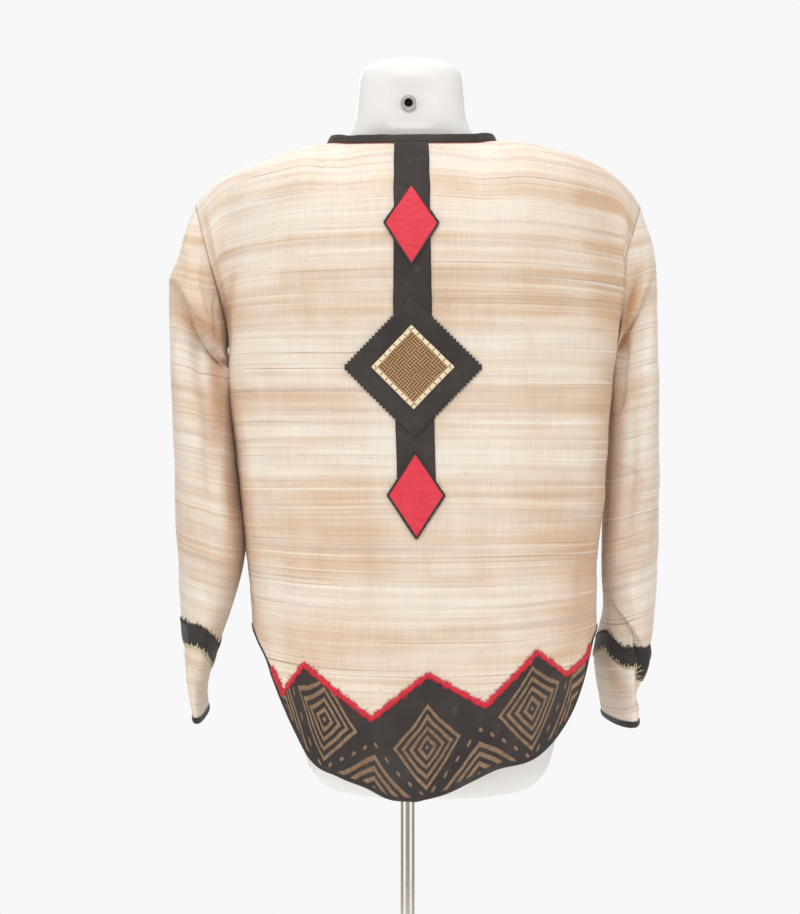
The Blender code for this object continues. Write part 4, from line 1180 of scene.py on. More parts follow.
def cotton(tree, u, v, offset):
    """Plain black cotton: its threads, lint and fading. Gives its colour and its height."""
    lint = streaks(tree, u, v, 60, 60, 4.0, offset)
    faded = streaks(tree, u, v, 14, 14, 3.0, offset + 5.0)
    weft = streaks(tree, u, v, 90, 900, 1.0, offset + 9.0)
    colour = mixed(tree, ranged(tree, faded, 0.3, 0.75), srgb(54, 49, 47), srgb(70, 64, 61))
    colour = mixed(tree, ranged(tree, lint, 0.58, 0.80, 0.0, 0.35), colour, srgb(104, 96, 90))
    weave = product(tree, threads(tree, v, COTTON_PITCH), threads(tree, u, COTTON_PITCH), 0.6)
    return colour, calc(tree, "ADD", weave, calc(tree, "MULTIPLY", weft, 0.7))


def black_cotton_material(name, offset):
    material, tree, shader = new_material(name)
    u, v = cloth_axes(tree)
    colour, height = cotton(tree, u, v, offset)
    finish(tree, shader, colour, height, COTTON_RELIEF, 0.5, COTTON_SURFACE)
    return material


PRINT_REPEAT = 0.1240
PRINT_MIDDLE = 0.0560
PRINT_REACH = 0.0500
PRINT_LINE = 0.0118
PRINT_DOTS = PRINT_REPEAT / 9
PRINT_DOTS_AT = 0.0520


def hem_print_material(name):
    """Black cotton with a wax-resist border: nested lozenges, chevrons between and a row of dots."""
    material, tree, shader = new_material(name)
    u, v = cloth_axes(tree)
    colour, height = cotton(tree, u, v, 4.0)
    wander = calc(tree, "MULTIPLY_ADD", streaks(tree, u, v, 40, 40, 2.0, 2.0), 0.0050, -0.0025)
    turn = calc(tree, "FRACT", calc(tree, "MULTIPLY_ADD", u, 1 / PRINT_REPEAT, 0.60))
    across = calc(tree, "MULTIPLY", apart(tree, turn, 0.5), PRINT_REPEAT)
    up = apart(tree, v, PRINT_MIDDLE)
    reach = calc(tree, "MULTIPLY_ADD", across, 1.25, calc(tree, "ADD", up, wander))
    inside = ranged(tree, reach, PRINT_REACH, PRINT_REACH - 0.0008)
    lozenges = calc(tree, "MULTIPLY", stripes(tree, reach, PRINT_LINE, 0.245, 0.285), inside)
    far = calc(tree, "SUBTRACT", PRINT_REPEAT / 2, across)
    slope = calc(tree, "ADD", calc(tree, "MULTIPLY_ADD", far, 0.85, v), wander)
    beyond = ranged(tree, reach, PRINT_REACH + 0.0062, PRINT_REACH + 0.0070)
    low = ranged(tree, slope, 0.0400, 0.0392)
    chevrons = product(tree, stripes(tree, slope, PRINT_LINE, 0.235, 0.275), beyond, low)
    dot_turn = calc(tree, "SUBTRACT", calc(tree, "FRACT", calc(tree, "DIVIDE", u, PRINT_DOTS)), 0.5)
    dot_across = calc(tree, "POWER", calc(tree, "MULTIPLY", dot_turn, PRINT_DOTS), 2.0)
    dot_up = calc(tree, "POWER", calc(tree, "SUBTRACT", slope, PRINT_DOTS_AT), 2.0)
    dot = calc(tree, "SQRT", calc(tree, "ADD", dot_across, dot_up))
    dots = calc(tree, "MULTIPLY", ranged(tree, dot, 0.0028, 0.0021), beyond)
    mask = calc(tree, "MAXIMUM", lozenges, calc(tree, "MAXIMUM", chevrons, dots))
    worn = ranged(tree, streaks(tree, u, v, 170, 170, 3.0, 8.0), 0.30, 0.55, 0.62, 1.0)
    halo = mixed(tree, ranged(tree, mask, 0.0, 0.5), colour, srgb(66, 44, 32))
    tone = mixed(tree, streaks(tree, u, v, 25, 25, 2.0, 6.0), srgb(126, 98, 76), srgb(160, 134, 108))
    printed = mixed(tree, calc(tree, "MULTIPLY", mask, worn), halo, tone)
    finish(tree, shader, printed, height, COTTON_RELIEF, 0.5, COTTON_SURFACE)
    return material


PATCH_CELL = 0.0100
PATCH_BAR = PATCH_CELL / 3
PATCH_BORDER = 0.0050


def patch_material(name):
    """A tan patch with a cream border round a basket weave: cells of three bars, turned by turns."""
    material, tree, shader = new_material(name)
    u, v = cloth_axes(tree)
    colour, height = cotton(tree, u, v, 14.0)
    wander = calc(tree, "MULTIPLY_ADD", streaks(tree, u, v, 90, 90, 2.0, 3.0), 0.0012, -0.0006)
    rim = calc(tree, "MAXIMUM", calc(tree, "ABSOLUTE", u), calc(tree, "ABSOLUTE", v))
    inner_edge = PATCH_SIDE / 2 - PATCH_BORDER
    border = ranged(tree, rim, inner_edge - 0.0003, inner_edge + 0.0003)
    across = calc(tree, "FLOOR", calc(tree, "DIVIDE", u, PATCH_CELL))
    up = calc(tree, "FLOOR", calc(tree, "DIVIDE", v, PATCH_CELL))
    turned = calc(tree, "FLOORED_MODULO", calc(tree, "ADD", across, up), 2.0)
    along = calc(tree, "MULTIPLY", calc(tree, "SUBTRACT", v, u), turned)
    along = calc(tree, "ADD", calc(tree, "ADD", along, u), wander)
    bars = stripes(tree, along, PATCH_BAR, 0.34, 0.26)
    tone = mixed(tree, streaks(tree, u, v, 60, 60, 2.0, 9.0), srgb(164, 124, 82), srgb(196, 158, 112))
    dark = mixed(tree, 0.6, colour, srgb(62, 40, 26))
    printed = mixed(tree, border, mixed(tree, bars, dark, tone), srgb(238, 220, 184))
    finish(tree, shader, printed, height, COTTON_RELIEF, 0.5, COTTON_SURFACE)
    return material


def thread_material(name, colour, roughness=0.42):
    """Embroidery thread: twisted, a little shiny, and uneven in colour."""
    material, tree, shader = new_material(name)
    place = object_place(tree)
    fine = lumps(tree, place, 700.0, 2.0)
    shade = calc(tree, "MULTIPLY", lumps(tree, place, 60.0, 2.0), 0.4)
    shade = calc(tree, "MULTIPLY_ADD", fine, 0.6, shade)
    tone = mixed(tree, ranged(tree, shade, 0.3, 0.6), darker(colour, 0.62), colour)
    finish(tree, shader, tone, fine, 0.0002, 0.4, {"Roughness": roughness, "Sheen Weight": 0.15})
    return material


def red_cloth_material(name):
    material, tree, shader = new_material(name)
    u, v = cloth_axes(tree)
    weave = calc(tree, "MULTIPLY", threads(tree, v, COTTON_PITCH), threads(tree, u, COTTON_PITCH))
    uneven = streaks(tree, u, v, 60, 200, 3.0, 1.0)
    colour = mixed(tree, uneven, srgb(206, 22, 48), srgb(240, 60, 78))
    height = calc(tree, "ADD", weave, uneven)
    finish(tree, shader, colour, height, COTTON_RELIEF, 0.5, {"Roughness": 0.62, "Sheen Weight": 0.2})
    return material


def form_material(name):
    """The dress form's smooth white shell, with a faint orange-peel."""
    material, tree, shader = new_material(name)
    place = object_place(tree)
    peel = lumps(tree, place, 420.0, 2.0)
    stain = lumps(tree, place, 9.0, 4.0)
    colour = mixed(tree, ranged(tree, stain, 0.35, 0.75), srgb(236, 235, 232), srgb(229, 227, 223))
    finish(tree, shader, colour, peel, 0.0002, 0.12, {"Specular IOR Level": 0.35})
    tree.links.new(ranged(tree, stain, 0.3, 0.8, 0.42, 0.56), shader.inputs["Roughness"])
    return material


def socket_material(name):
    """Darker turned steel, with painted shade: black inside its hole."""
    material, tree, shader = new_material(name)
    off = {0: object_place(tree), 1: (SOCKET_X, 0.0, SEAT_Z)}
    off = node(tree, "ShaderNodeVectorMath", off, operation="SUBTRACT").outputs[0]
    flat = node(tree, "ShaderNodeVectorMath", {0: off, 1: (1.0, 0.0, 1.0)}, operation="MULTIPLY").outputs[0]
    radius = node(tree, "ShaderNodeVectorMath", {0: flat}, operation="LENGTH").outputs["Value"]
    # Painted shade: the inside of the bore is painted near black, as it lies in shadow.
    painted_bore_shade = ranged(tree, radius, SOCKET_BORE - 0.0002, SOCKET_BORE + 0.0002)
    rings = threads(tree, radius, 0.0009)
    ring = mixed(tree, ranged(tree, rings, 0.0, 1.0), srgb(120, 116, 112), srgb(186, 182, 176))
    colour = mixed(tree, painted_bore_shade, srgb(26, 24, 24), ring)
    finish(tree, shader, colour, rings, 0.0001, 0.2, {"Metallic": 1.0, "Roughness": 0.34})
    return material


def steel_material(name, colour, roughness):
    """Bright steel with fine turning marks round Z and a few smudges."""
    material, tree, shader = new_material(name)
    place = object_place(tree)
    stretch = node(tree, "ShaderNodeMapping", {"Vector": place, "Scale": (14.0, 14.0, 900.0)}).outputs[0]
    marks = lumps(tree, stretch, 1.0, 2.0)
    smudge = lumps(tree, place, 24.0, 4.0)
    tone = mixed(tree, ranged(tree, smudge, 0.45, 0.8), colour, darker(colour, 0.82))
    finish(tree, shader, tone, marks, 0.0001, 0.08, {"Metallic": 1.0})
    rough = calc(tree, "MULTIPLY_ADD", smudge, 0.16, roughness - 0.06)
    tree.links.new(rough, shader.inputs["Roughness"])
    return material


# The pieces.
def body_shares():
    half = np.linspace(0, 1, BACK_HALF_COLUMNS + 1)
    half[np.argmin(np.abs(half - NECK_SHARE))] = NECK_SHARE
    return np.concatenate([-half[:0:-1], half])


def front_shares(side):
    shares = FRONT_START + (1 - FRONT_START) * np.linspace(0, 1, FRONT_COLUMNS + 1)
    shares[np.argmin(np.abs(shares - NECK_SHARE))] = NECK_SHARE
    return shares if side == LEFT else -shares[::-1]


def build_body():
    back = body_surface("back", body_shares(), BACK_CREASES, 3)
    fronts = {}
    # The back's silk carries painted shade in patches and down its right side.
    back_silk = silk_material("slub_silk_back", 0.0, -0.01, BACK_PAINTED_SHADES, 0.20)
    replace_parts(cloth_object("silk_back", back, back_silk), "back")
    for (name, side), seed in zip(SIDES, (11, 23)):
        fronts[side] = body_surface("front", front_shares(side), FRONT_CREASES, seed)
        material = silk_material("slub_silk_front_" + name, 50.0 + seed, 0.02)
        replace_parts(cloth_object("silk_front_" + name, fronts[side], material), "front_" + name)
    return back, fronts


def with_allowance(sleeve):
    """The sleeve's points and UVs with a row more that goes in under the body's edge."""
    first = sleeve.points[0]
    step = unit(sleeve.points[1] - first)
    under = first - SEAM_ALLOWANCE * step - 0.5 * SEAM_ALLOWANCE * sleeve.normals[0]
    uv = sleeve.uv[:1] + np.array([0.0, SEAM_ALLOWANCE])
    return np.concatenate([under[None], sleeve.points]), np.concatenate([uv, sleeve.uv])


def build_sleeves(back, fronts):
    made = {}
    # Side, name, folds, laps, painted shades, warmth, seed.
    kinds = (
        (LEFT, "left", LEFT_SLEEVE_CREASES, LEFT_SLEEVE_LAPS, LEFT_SLEEVE_PAINTED_SHADES, 0.04, 31),
        (RIGHT, "right", RIGHT_SLEEVE_CREASES, RIGHT_SLEEVE_LAPS, RIGHT_SLEEVE_PAINTED_SHADES, -0.15, 43),
    )
    for side, name, crease_table, lap_table, shades, warmth, seed in kinds:
        made[side] = sleeve_surface(side, back, fronts[side], crease_table, lap_table, seed)
        material = silk_material("slub_silk_sleeve_" + name, 100.0 + seed, warmth, shades)
        points, uv = with_allowance(made[side])
        piece = grid_object("silk_sleeve_" + name, points, uv, material, SILK_WALL, True, made[side].flipped)
        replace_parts(piece, "sleeve_" + name)
    return made


def half_girth(back, side):
    """How long the cloth is from the centre back to the side, some way below the underarm."""
    row = back.points[BACK_GIRTH_ROW]
    keep = back.columns >= 0 if side == LEFT else back.columns <= 0
    return float(run_length(row[keep])[-1])


def on_back(back, across, up):
    """The place and t this far across from the centre back and up from the underarm."""
    across = np.asarray(across, dtype=float)
    up = np.asarray(up, dtype=float)
    place = across / np.where(across >= 0, half_girth(back, LEFT), half_girth(back, RIGHT))
    return place, np.where(up <= 0, 1 + up / (UNDERARM_Z - back_hem(place)), 1 + up / COLUMN_LENGTH)


def on_point(back, a, b, up):
    """The place and t of a point given on the axes of a square that stands on its point."""
    return on_back(back, (a - b) / math.sqrt(2), up + (a + b) / math.sqrt(2))


def build_strip(back, black, thread):
    half = STRIP_HALF_WIDTH / half_girth(back, LEFT)
    across = np.linspace(-1, 1, 15)
    ts = np.linspace(STRIP_LOW_T, STRIP_HIGH_T, 190)
    columns, rows = np.meshgrid(across * half, ts)
    wobble = 0.0006 / half_girth(back, LEFT) * ripple(rows, rows * 0, 7, 0.12)
    columns = columns + wobble * np.sign(columns)
    edge = 1 - np.abs(across) ** 8
    lift = TRIM_LIFT + 0.0004 * edge[None, :] + 0.00025 * ripple(columns * 0.3, rows * 0.3, 9, 0.02)
    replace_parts(laid("back_strip_cloth", back, columns, rows, lift, black), "back_strip")
    starts, ends, ups = [], [], []
    for side in (-1, 1):
        for t in np.arange(STRIP_LOW_T + 0.004, STRIP_HIGH_T - 0.01, 0.0125):
            place = side * half * 0.93
            starts.append(back.at(place, t, TRIM_LIFT + 0.0007))
            ends.append(back.at(side * half * 1.02, t + 0.004, TRIM_LIFT - 0.0003))
            ups.append(back.out(place, t))
    stitches("strip_stitches", starts, ends, ups, 0.0007, thread)


def pinked(name, back, side_length, lift, material, teeth, tooth):
    """A square on its point at the medallion's place, with saw-toothed edges."""
    cells = teeth * 2
    steps = np.linspace(-0.5, 0.5, cells + 1) * side_length
    a, b = np.meshgrid(steps, steps, indexing="ij")
    saw = np.where(np.arange(cells + 1) % 2 == 0, 0.0, tooth)
    a[0, :] -= saw
    a[-1, :] += saw
    b[:, 0] -= saw
    b[:, -1] += saw
    columns, rows = on_point(back, a, b, MEDALLION_AT)
    puffed = lift + 0.0003 * ripple(a, b, 5, 0.03)
    return laid(name, back, columns, rows, puffed, material, np.stack([a, b], axis=-1))


def around_square(back, side_length, lift, pitch, reach_in, reach_out, jitter, random):
    """Starts, ends and ups of stitches square to the sides of a square on its point."""
    starts, ends, ups = [], [], []
    half = side_length / 2
    for corner in range(4):
        turn = corner * math.pi / 2
        for along in np.arange(-half + pitch / 2, half, pitch):
            lean = random.normal(0, jitter)
            pair = []
            for off, slip in ((half - reach_in, -lean), (half + reach_out, lean)):
                a = off * math.cos(turn) - (along + slip) * math.sin(turn)
                b = off * math.sin(turn) + (along + slip) * math.cos(turn)
                pair.append(on_point(back, a, b, MEDALLION_AT))
            starts.append(back.at(*pair[0], lift + 0.0005))
            ends.append(back.at(*pair[1], lift - 0.0002))
            ups.append(back.out(*pair[0]))
    return starts, ends, ups


def build_medallion(back, black, patch, thread, random):
    lift = TRIM_LIFT + LAYER
    medallion = pinked("medallion_cloth", back, MEDALLION_SIDE - 0.002, lift, black, 22, 0.0024)
    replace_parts(medallion, "medallion")
    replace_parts(pinked("patch_cloth", back, PATCH_SIDE, lift + LAYER, patch, 18, 0.0003), "patch")
    rim = around_square(back, MEDALLION_SIDE - 0.010, lift, 0.0044, 0.0006, 0.0012, 0.0006, random)
    stitches("medallion_stitches", *rim, 0.0008, thread)
    over = around_square(back, PATCH_SIDE, lift + LAYER, 0.0086, 0.0048, 0.0010, 0.0004, random)
    stitches("patch_stitches", *over, 0.0011, thread)


def build_lozenges(back, red, thread, random):
    steps = np.linspace(-0.5, 0.5, 25)
    a, b = np.meshgrid(steps, steps, indexing="ij")
    lift = TRIM_LIFT + LAYER + 0.0004 * (1 - (2 * np.abs(a)) ** 6) * (1 - (2 * np.abs(b)) ** 6)
    across, rise = (a - b) * LOZENGE_WIDTH, (a + b) * LOZENGE_HEIGHT
    corners = [(0, LOZENGE_HEIGHT), (LOZENGE_WIDTH, 0), (0, -LOZENGE_HEIGHT), (-LOZENGE_WIDTH, 0)]
    for name, up in LOZENGES:
        columns, rows = on_back(back, across, up + rise)
        piece = laid(name + "_cloth", back, columns, rows, lift, red, np.stack([across, rise], axis=-1))
        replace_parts(piece, name)
        starts, ends, ups = [], [], []
        for (x0, z0), (x1, z1) in zip(corners, corners[1:] + corners[:1]):
            length = math.hypot(x1 - x0, z1 - z0)
            out_x, out_z = -(z1 - z0) / length, (x1 - x0) / length
            for share in np.arange(0.0, 1.0, 0.0009 / length):
                x, z = x0 + (x1 - x0) * share, z0 + (z1 - z0) * share
                width = 0.0019 + random.normal(0, 0.00022)
                inner = on_back(back, x + out_x * width, up + z + out_z * width)
                outer = on_back(back, x - out_x * width * 0.8, up + z - out_z * width * 0.8)
                starts.append(back.at(*inner, TRIM_LIFT + LAYER + 0.0006))
                ends.append(back.at(*outer, TRIM_LIFT + LAYER + 0.0002))
                ups.append(back.out(*inner))
        stitches(name + "_stitches", starts, ends, ups, 0.0011, thread)


BAND_LEAST = 0.007
BAND_FOOT = 0.0005


def band_top(places, hem):
    """The height of the hem band's zigzag, never too close to the hem."""
    top = np.interp(places, *zip(*ZIGZAG))
    return np.maximum(top, hem + BAND_LEAST)


# Threads over the band's red edge: pitch, width, reach above and below, lean.
EDGE_STITCHES = (0.00062, 0.00120, (0.0024, 0.0046), (0.0022, 0.0044), 0.30)
EDGE_STRAYS = (0.0056, 0.00062, (0.0040, 0.0080), (0.0010, 0.0064), 0.36)


def build_hem_band(back, printed, red_thread, dark_thread, random):
    ends = ZIGZAG[0][0], ZIGZAG[-1][0]
    places = np.unique(np.concatenate([np.linspace(*ends, 171), [row[0] for row in ZIGZAG]]))
    hem = back_hem(places)
    shares = np.linspace(0, 1, 41)[:, None]
    z = hem + BAND_FOOT + (band_top(places, hem) - hem - BAND_FOOT) * shares
    rows = (z - hem) / (UNDERARM_Z - hem)
    columns = np.ones_like(rows) * places
    u = back.blended(back.uv, columns, rows)[..., 0]
    uv = np.stack([u, z - hem], axis=-1)
    lift = TRIM_LIFT + 0.0003 * ripple(u, z, 17, 0.03)
    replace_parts(laid("hem_band_cloth", back, columns, rows, lift, printed, uv), "hem_band")
    fine = np.linspace(*ends, 3000)
    hem = back_hem(fine)
    fine_t = (band_top(fine, hem) - hem) / (UNDERARM_Z - hem)
    edge_threads("hem_edge_stitches", back, fine, fine_t, red_thread, *EDGE_STITCHES, random)
    edge_threads("hem_edge_strays", back, fine, fine_t, dark_thread, *EDGE_STRAYS, random)


def edge_threads(name, back, places, ts, material, pitch, width, above_range, below_range, lean, random):
    """Threads across a line on the back, given by its places and ts."""
    track = back.at(places, ts, TRIM_LIFT)
    arc = run_length(track)
    starts, ends, ups = [], [], []
    for place in np.arange(0.0005, arc[-1], pitch):
        share = np.interp(place, arc, places)
        t = np.interp(place, arc, ts)
        point = back.at(share, t, TRIM_LIFT + 0.0004)
        out = back.out(share, t)
        ahead = np.array([np.interp(place + 0.002, arc, track[:, k]) for k in range(3)])
        behind = np.array([np.interp(place - 0.002, arc, track[:, k]) for k in range(3)])
        along = unit(ahead - behind)
        across = unit(np.cross(along, out))
        across = across if across[2] > 0 else -across
        heading = unit(across + along * random.normal(0, lean) + np.array([0.0, 0.0, 0.25]))
        swell = 1.0 + 0.3 * math.sin(410.0 * place) * math.sin(97.0 * place)
        high = random.uniform(0.0003, 0.0010)
        starts.append(point - heading * random.uniform(*below_range) * swell + out * high)
        ends.append(point + heading * random.uniform(*above_range) * swell - out * 0.0004)
        ups.append(out)
    stitches(name, starts, ends, ups, width, material)


def slanted(down, turn, side):
    """How far down the sleeve the cuff band's line lies at this turn, with its slant."""
    table = LEFT_CUFF_SLANT if side == LEFT else RIGHT_CUFF_SLANT
    return down + np.interp(np.degrees(turn), *zip(*table))


# Threads on a cuff band's edges: edge, its distance down the band, pitch in radians, reach below
# the edge, least and most reach above it.
CUFF_EDGES = (
    ("upper", 0.0, 0.030, 0.0014, 0.0020, 0.0070),
    ("lower", CUFF_BAND, 0.026, 0.0022, 0.0020, 0.0075),
)
LONG_THREADS = 0.22


def build_cuff(name, side, sleeve, black, threads_by_edge, random):
    band_at = LEFT_CUFF_BAND_AT if side == LEFT else RIGHT_CUFF_BAND_AT
    shares = np.linspace(0, 1, 15)[:, None]
    columns = np.ones_like(shares) * sleeve.columns
    points = sleeve.at(columns, slanted(band_at + CUFF_BAND * shares, columns, side), TRIM_LIFT)
    uv = np.stack([columns * 0.05, CUFF_BAND * shares * np.ones_like(columns)], axis=-1)
    piece = grid_object("cuff_band_cloth_" + name, points, uv, black, TRIM_WALL, True)
    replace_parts(piece, "cuff_band_" + name)
    for edge, down, pitch, below, least, most in CUFF_EDGES:
        starts, ends, ups = [], [], []
        for turn in np.arange(0.0, 2 * math.pi, pitch):
            short = random.random() > LONG_THREADS
            above = random.uniform(least, 0.45 * most) if short else random.uniform(0.5 * most, most)
            lean = random.normal(0, 0.03)
            row = slanted(band_at + down, turn, side)
            leaning = float(np.clip(turn + lean, 0, 2 * math.pi))
            on_band, on_silk = (turn, row + below), (leaning, row - above)
            if edge == "lower":
                on_band, on_silk = on_silk, on_band
            starts.append(sleeve.at(*on_band, TRIM_LIFT + 0.0007))
            ends.append(sleeve.at(*on_silk, 0.0009))
            ups.append(sleeve.out(*on_band))
        stitches(f"cuff_stitches_{edge}_{name}", starts, ends, ups, 0.0010, threads_by_edge[edge])


# Cross-sections of the bindings: how far out of the cloth and how far off its edge.
BINDING_PROFILE = (
    (0.0013, -0.0030),
    (0.0016, -0.0010),
    (0.0015, 0.0014),
    (0.0010, 0.0034),
    (0.0, 0.0043),
    (-0.0010, 0.0034),
    (-0.0015, 0.0014),
    (-0.0016, -0.0010),
    (-0.0013, -0.0030),
)
FRONT_PROFILE = (
    (0.0011, -0.0030),
    (0.0014, 0.0010),
    (0.0011, 0.0060),
    (0.0, 0.0067),
    (-0.0011, 0.0060),
    (-0.0014, 0.0010),
    (-0.0011, -0.0030),
)
NECK_PROFILE = (
    (0.0013, -0.0022),
    (0.0016, 0.0010),
    (0.0014, 0.0060),
    (0.0009, 0.0092),
    (0.0, 0.0101),
    (-0.0009, 0.0092),
    (-0.0014, 0.0060),
    (-0.0016, 0.0010),
    (-0.0013, -0.0022),
)
BINDING_END = 0.985
# The back's hem binding is narrow beside the hem band.
BAND_LEFT_END = 0.60
BAND_RIGHT_END = -0.69
BINDING_NARROWED = 0.62
PIPING_T = 1.9895
PIPING_RADIUS = 0.0004


def edge_frames(surface, columns, row, inner_row):
    """Points along a surface's edge, with the way out of the cloth and the way off the edge."""
    middles = surface.at(columns, row)
    outs = surface.out(columns, row)
    along = np.gradient(middles, axis=0)
    off = unit(np.cross(along, outs))
    inside = surface.at(columns, inner_row)
    turned = np.sign(((middles - inside) * off).sum(axis=-1, keepdims=True))
    return middles, outs, off * turned


def bind(kind, ending, *run, **how):
    """A folded binding that takes its solid's place."""
    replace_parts(folded_strip(kind + "_cloth" + ending, *run, **how), kind + ending)


def build_bindings(back, fronts, sleeves, black):
    columns = np.linspace(-BINDING_END, BINDING_END, 240)
    beside = ease((columns - BAND_LEFT_END) / 0.05) + ease((BAND_RIGHT_END - columns) / 0.05)
    frames = edge_frames(back, columns, 0.0, 0.02)
    bind("hem_binding_back", "", *frames, BINDING_PROFILE, black, sizes=1.0 - BINDING_NARROWED * beside)
    for name, side in SIDES:
        front, sleeve, ending = fronts[side], sleeves[side], "_" + name
        columns = side * np.linspace(FRONT_START, BINDING_END, 110)
        frames = edge_frames(front, columns, 0.0, 0.02)
        bind("hem_binding_front", ending, *frames, BINDING_PROFILE, black)
        rows = np.linspace(0.0, 2.0, 180)
        edge = side * FRONT_START
        middles = front.at(edge, rows)
        off = unit(middles - front.at(edge + side * 0.02, rows))
        bind("front_binding", ending, middles, front.out(edge, rows), off, FRONT_PROFILE, black)
        middles = sleeve.points[-1, :-1]
        off = unit(middles - sleeve.points[-3, :-1])
        outs = sleeve.normals[-1, :-1]
        bind("cuff_binding", ending, middles, outs, off, BINDING_PROFILE, black, closed=True)


def neck_path(back, fronts):
    """The neckline from the right front round the back to the left front."""
    shares = np.linspace(FRONT_START, NECK_SHARE, 40)
    right = fronts[RIGHT].at(-shares, 2.0)
    behind = back.at(np.linspace(-NECK_SHARE, NECK_SHARE, 110), 2.0)
    left = fronts[LEFT].at(shares[::-1], 2.0)
    return np.concatenate([right, behind[1:-1], left])


def build_neck(back, fronts, black, piping_thread):
    path = neck_path(back, fronts)
    smooth(path, 3)
    path[:, 2] += 0.0006 * ripple(path[:, 0], path[:, 1], 61, 0.05)
    path[:, 2] += 0.0016 * hump(np.abs(path[:, 0]), 0.094, 0.012) * (path[:, 1] > SHOULDER_SEAM_Y)
    along = unit(np.gradient(path, axis=0))
    inward = -path * np.array([1.0, 1.0, 0.0])
    stand = unit(0.35 * unit(inward) + np.array([0.0, 0.0, 1.0]))
    stand = unit(stand - along * (stand * along).sum(axis=-1, keepdims=True))
    out = unit(np.cross(along, stand))
    bind("neck_binding", "", path, out, stand, NECK_PROFILE, black)
    shares = np.linspace(-NECK_SHARE, NECK_SHARE, 140)
    low = back.at(shares, PIPING_T, 0.0011)
    ups = back.out(shares, PIPING_T)
    across = unit(np.cross(unit(np.gradient(low, axis=0)), ups))
    turns = 2 * math.pi * np.arange(6) / 6
    cord = PIPING_RADIUS * np.column_stack([np.cos(turns), np.sin(turns)])
    swept("neck_piping", low, ups, across, cord, piping_thread)


def build_form(white):
    """The torso form, finer than its solid, with the flat seat in its neck."""
    sides = 120
    fine_z = []
    for low, high in zip(FORM[:-1], FORM[1:]):
        fine_z += list(np.linspace(low[0], high[0], 5)[:-1])
    fine_z = np.array(fine_z + [FORM[-1][0]])
    stations = column(FORM, FORM_COLUMNS, "z")
    sizes = {}
    for name in FORM_COLUMNS[1:]:
        sizes[name] = np.interp(fine_z, stations, column(FORM, FORM_COLUMNS, name))
    turns = 2 * math.pi * np.arange(sides) / sides
    rings = []
    for place, z in enumerate(fine_z):
        ring = {name: values[place] for name, values in sizes.items()}
        power = 2 / ring["square"]
        across = np.sign(np.cos(turns)) * np.abs(np.cos(turns)) ** power
        along = np.sign(np.sin(turns)) * np.abs(np.sin(turns)) ** power
        depth = np.where(along > 0, ring["back"], ring["front"])
        x = ring["centre"] + ring["width"] * across
        rings.append(np.stack([x, depth * along, z - ring["droop"] * across**2], axis=-1))
    points = np.array(rings)
    smooth(points, 2)
    x, y, z = points[..., 0], points[..., 1], points[..., 2]
    inside = (np.abs(x - SEAT_X) < SEAT_WIDTH / 2) & (np.abs(z - SEAT_Z) < SEAT_HEIGHT / 2) & (y > SEAT_Y)
    points[..., 1] = np.where(inside, SEAT_Y, y)
    piece = outward(mesh_object("torso_form", points.reshape(-1, 3), ring_faces(len(points), sides), white))
    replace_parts(piece, "form")


def dress_metal():
    steel = steel_material("bright_steel", srgb(236, 229, 219), 0.12)
    for name, metal in (("neck_socket", socket_material("socket_steel")), ("pole", steel), ("base", steel)):
        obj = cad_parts[name]
        obj.data.materials.clear()
        obj.data.materials.append(metal)


# The studio.
CAMERA_PLACE = (0.0094, 2.7200, 1.1000)
CAMERA_LENS = 87.05
SENSOR = 36.0
FLOOR_RADIUS = 2.55


# Name, place, size, power, colour.
LIGHTS = (
    ("key_softbox", (0.3, 2.9, 3.1), 1.3, 42.0, (1.0, 0.99, 0.97)),
    ("left_softbox", (2.7, 1.3, 1.5), 1.3, 13.0, (1.0, 0.99, 0.98)),
    ("right_softbox", (-2.7, 1.3, 1.5), 1.3, 12.0, (1.0, 0.98, 0.95)),
    ("top_softbox", (0.0, -0.2, 3.3), 1.5, 17.0, (1.0, 1.0, 1.0)),
    ("front_softbox", (0.6, -3.2, 2.2), 1.8, 44.0, (1.0, 0.99, 0.98)),
)
LIT_POINT = (0.0, 0.0, 1.1)


def placed(name, data):
    """A new object of this data in the scene."""
    obj = bpy.data.objects.new(name, data)
    bpy.context.scene.collection.objects.link(obj)
    return obj


def build_camera():
    bpy.context.scene.view_settings.view_transform = "Standard"
    camera_data = bpy.data.cameras.new("camera")
    camera_data.lens = CAMERA_LENS
    camera_data.sensor_width = SENSOR
    camera = placed("camera", camera_data)
    camera.location = CAMERA_PLACE
    camera.rotation_euler = (math.pi / 2, 0.0, math.pi)
    bpy.context.scene.camera = camera


def build_floor():
    material, tree, shader = new_material("studio_floor")
    grain = lumps(tree, object_place(tree), 30.0, 3.0)
    tree.links.new(mixed(tree, grain, srgb(243, 242, 240), srgb(247, 246, 244)), shader.inputs["Base Color"])
    shader.inputs["Roughness"].default_value = 0.8
    turns = np.linspace(0, 2 * math.pi, 97)[:-1]
    rim = np.column_stack([np.cos(turns), np.sin(turns), np.zeros(96)]) * FLOOR_RADIUS
    mesh = bpy.data.meshes.new("studio_floor")
    mesh.from_pydata([tuple(point) for point in rim], [], [tuple(range(96))])
    mesh.materials.append(material)
    placed("studio_floor", mesh)


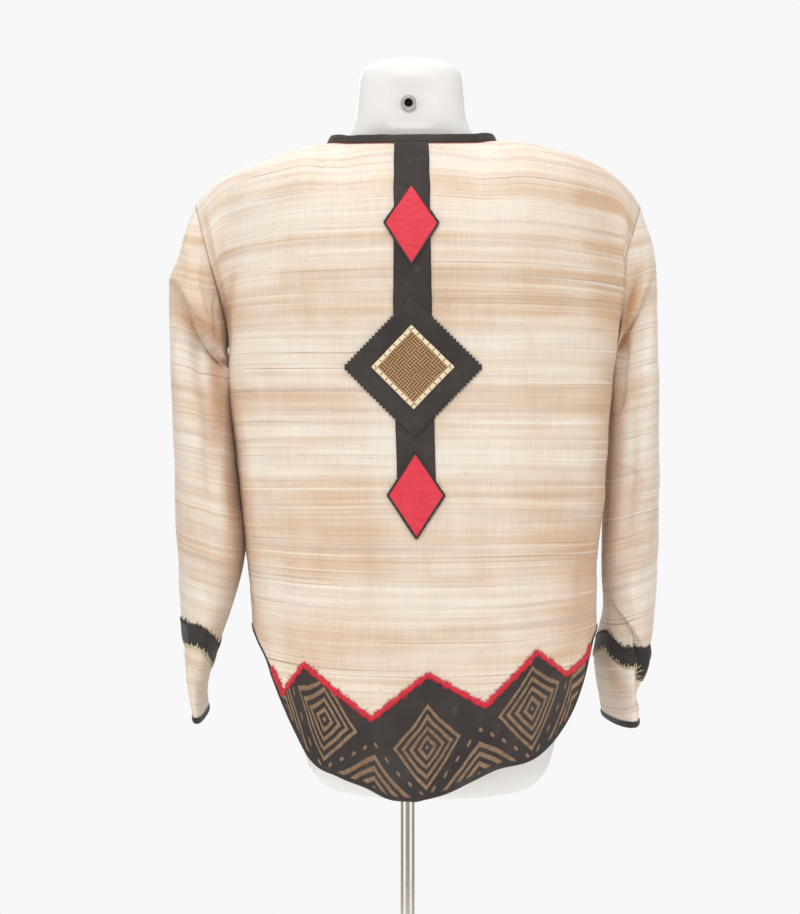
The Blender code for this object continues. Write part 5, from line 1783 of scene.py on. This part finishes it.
def build_world():
    """A plain pale backdrop for the camera. The lit things mirror a room with a dark wall and windows."""
    world = bpy.data.worlds.new("studio")
    bpy.context.scene.world = world
    world.use_nodes = True
    tree = world.node_tree
    heading = node(tree, "ShaderNodeTexCoord").outputs["Generated"]
    x, y, z = node(tree, "ShaderNodeSeparateXYZ", {0: heading}).outputs
    room = mixed(tree, ranged(tree, z, -0.30, 0.80), srgb(150, 148, 146), srgb(222, 223, 226))
    room = mixed(tree, ranged(tree, y, 0.955, 0.985), room, srgb(60, 58, 57))
    x, z = calc(tree, "ABSOLUTE", x), calc(tree, "ABSOLUTE", z)
    limits = ((x, 0.50, 0.56), (x, 0.92, 0.86), (z, 0.28, 0.20), (y, 0.0, 0.1))
    window = product(tree, *(ranged(tree, *limit) for limit in limits))
    room = mixed(tree, window, room, (1.3, 1.24, 1.16, 1.0))
    seen = node(tree, "ShaderNodeLightPath").outputs["Is Camera Ray"]
    background = tree.nodes["Background"]
    tree.links.new(mixed(tree, seen, room, srgb(248, 248, 248)), background.inputs["Color"])
    background.inputs["Strength"].default_value = 1.0


def build_lights():
    for name, spot, size, power, tint in LIGHTS:
        data = bpy.data.lights.new(name, "AREA")
        data.shape = "DISK"
        data.size = size
        data.energy = power
        data.color = tint
        lamp = placed(name, data)
        lamp.location = spot
        way = Vector(LIT_POINT) - Vector(spot)
        lamp.rotation_euler = way.to_track_quat("-Z", "Y").to_euler()


random = np.random.default_rng(5880)
black = black_cotton_material("black_cotton", 0.0)
binding = black_cotton_material("black_binding", 20.0)
black_thread = thread_material("black_thread", srgb(40, 36, 35), 0.5)
red_thread = thread_material("red_thread", srgb(222, 24, 52))
cream_thread = thread_material("cream_thread", srgb(228, 214, 180))
dark_red_thread = thread_material("dark_red_thread", srgb(184, 40, 56), 0.5)
piping_thread = thread_material("piping_thread", srgb(168, 62, 44), 0.5)

back, fronts = build_body()
sleeves = build_sleeves(back, fronts)
build_strip(back, black, black_thread)
build_medallion(back, black, patch_material("printed_patch"), black_thread, random)
build_lozenges(back, red_cloth_material("red_cloth"), black_thread, random)
build_hem_band(back, hem_print_material("hem_print"), red_thread, dark_red_thread, random)
edge_materials = {"upper": black_thread, "lower": cream_thread}
for name, side in SIDES:
    build_cuff(name, side, sleeves[side], black, edge_materials, random)
build_bindings(back, fronts, sleeves, binding)
build_neck(back, fronts, binding, piping_thread)
build_form(form_material("white_form"))
dress_metal()
build_camera()
build_floor()
build_world()
build_lights()
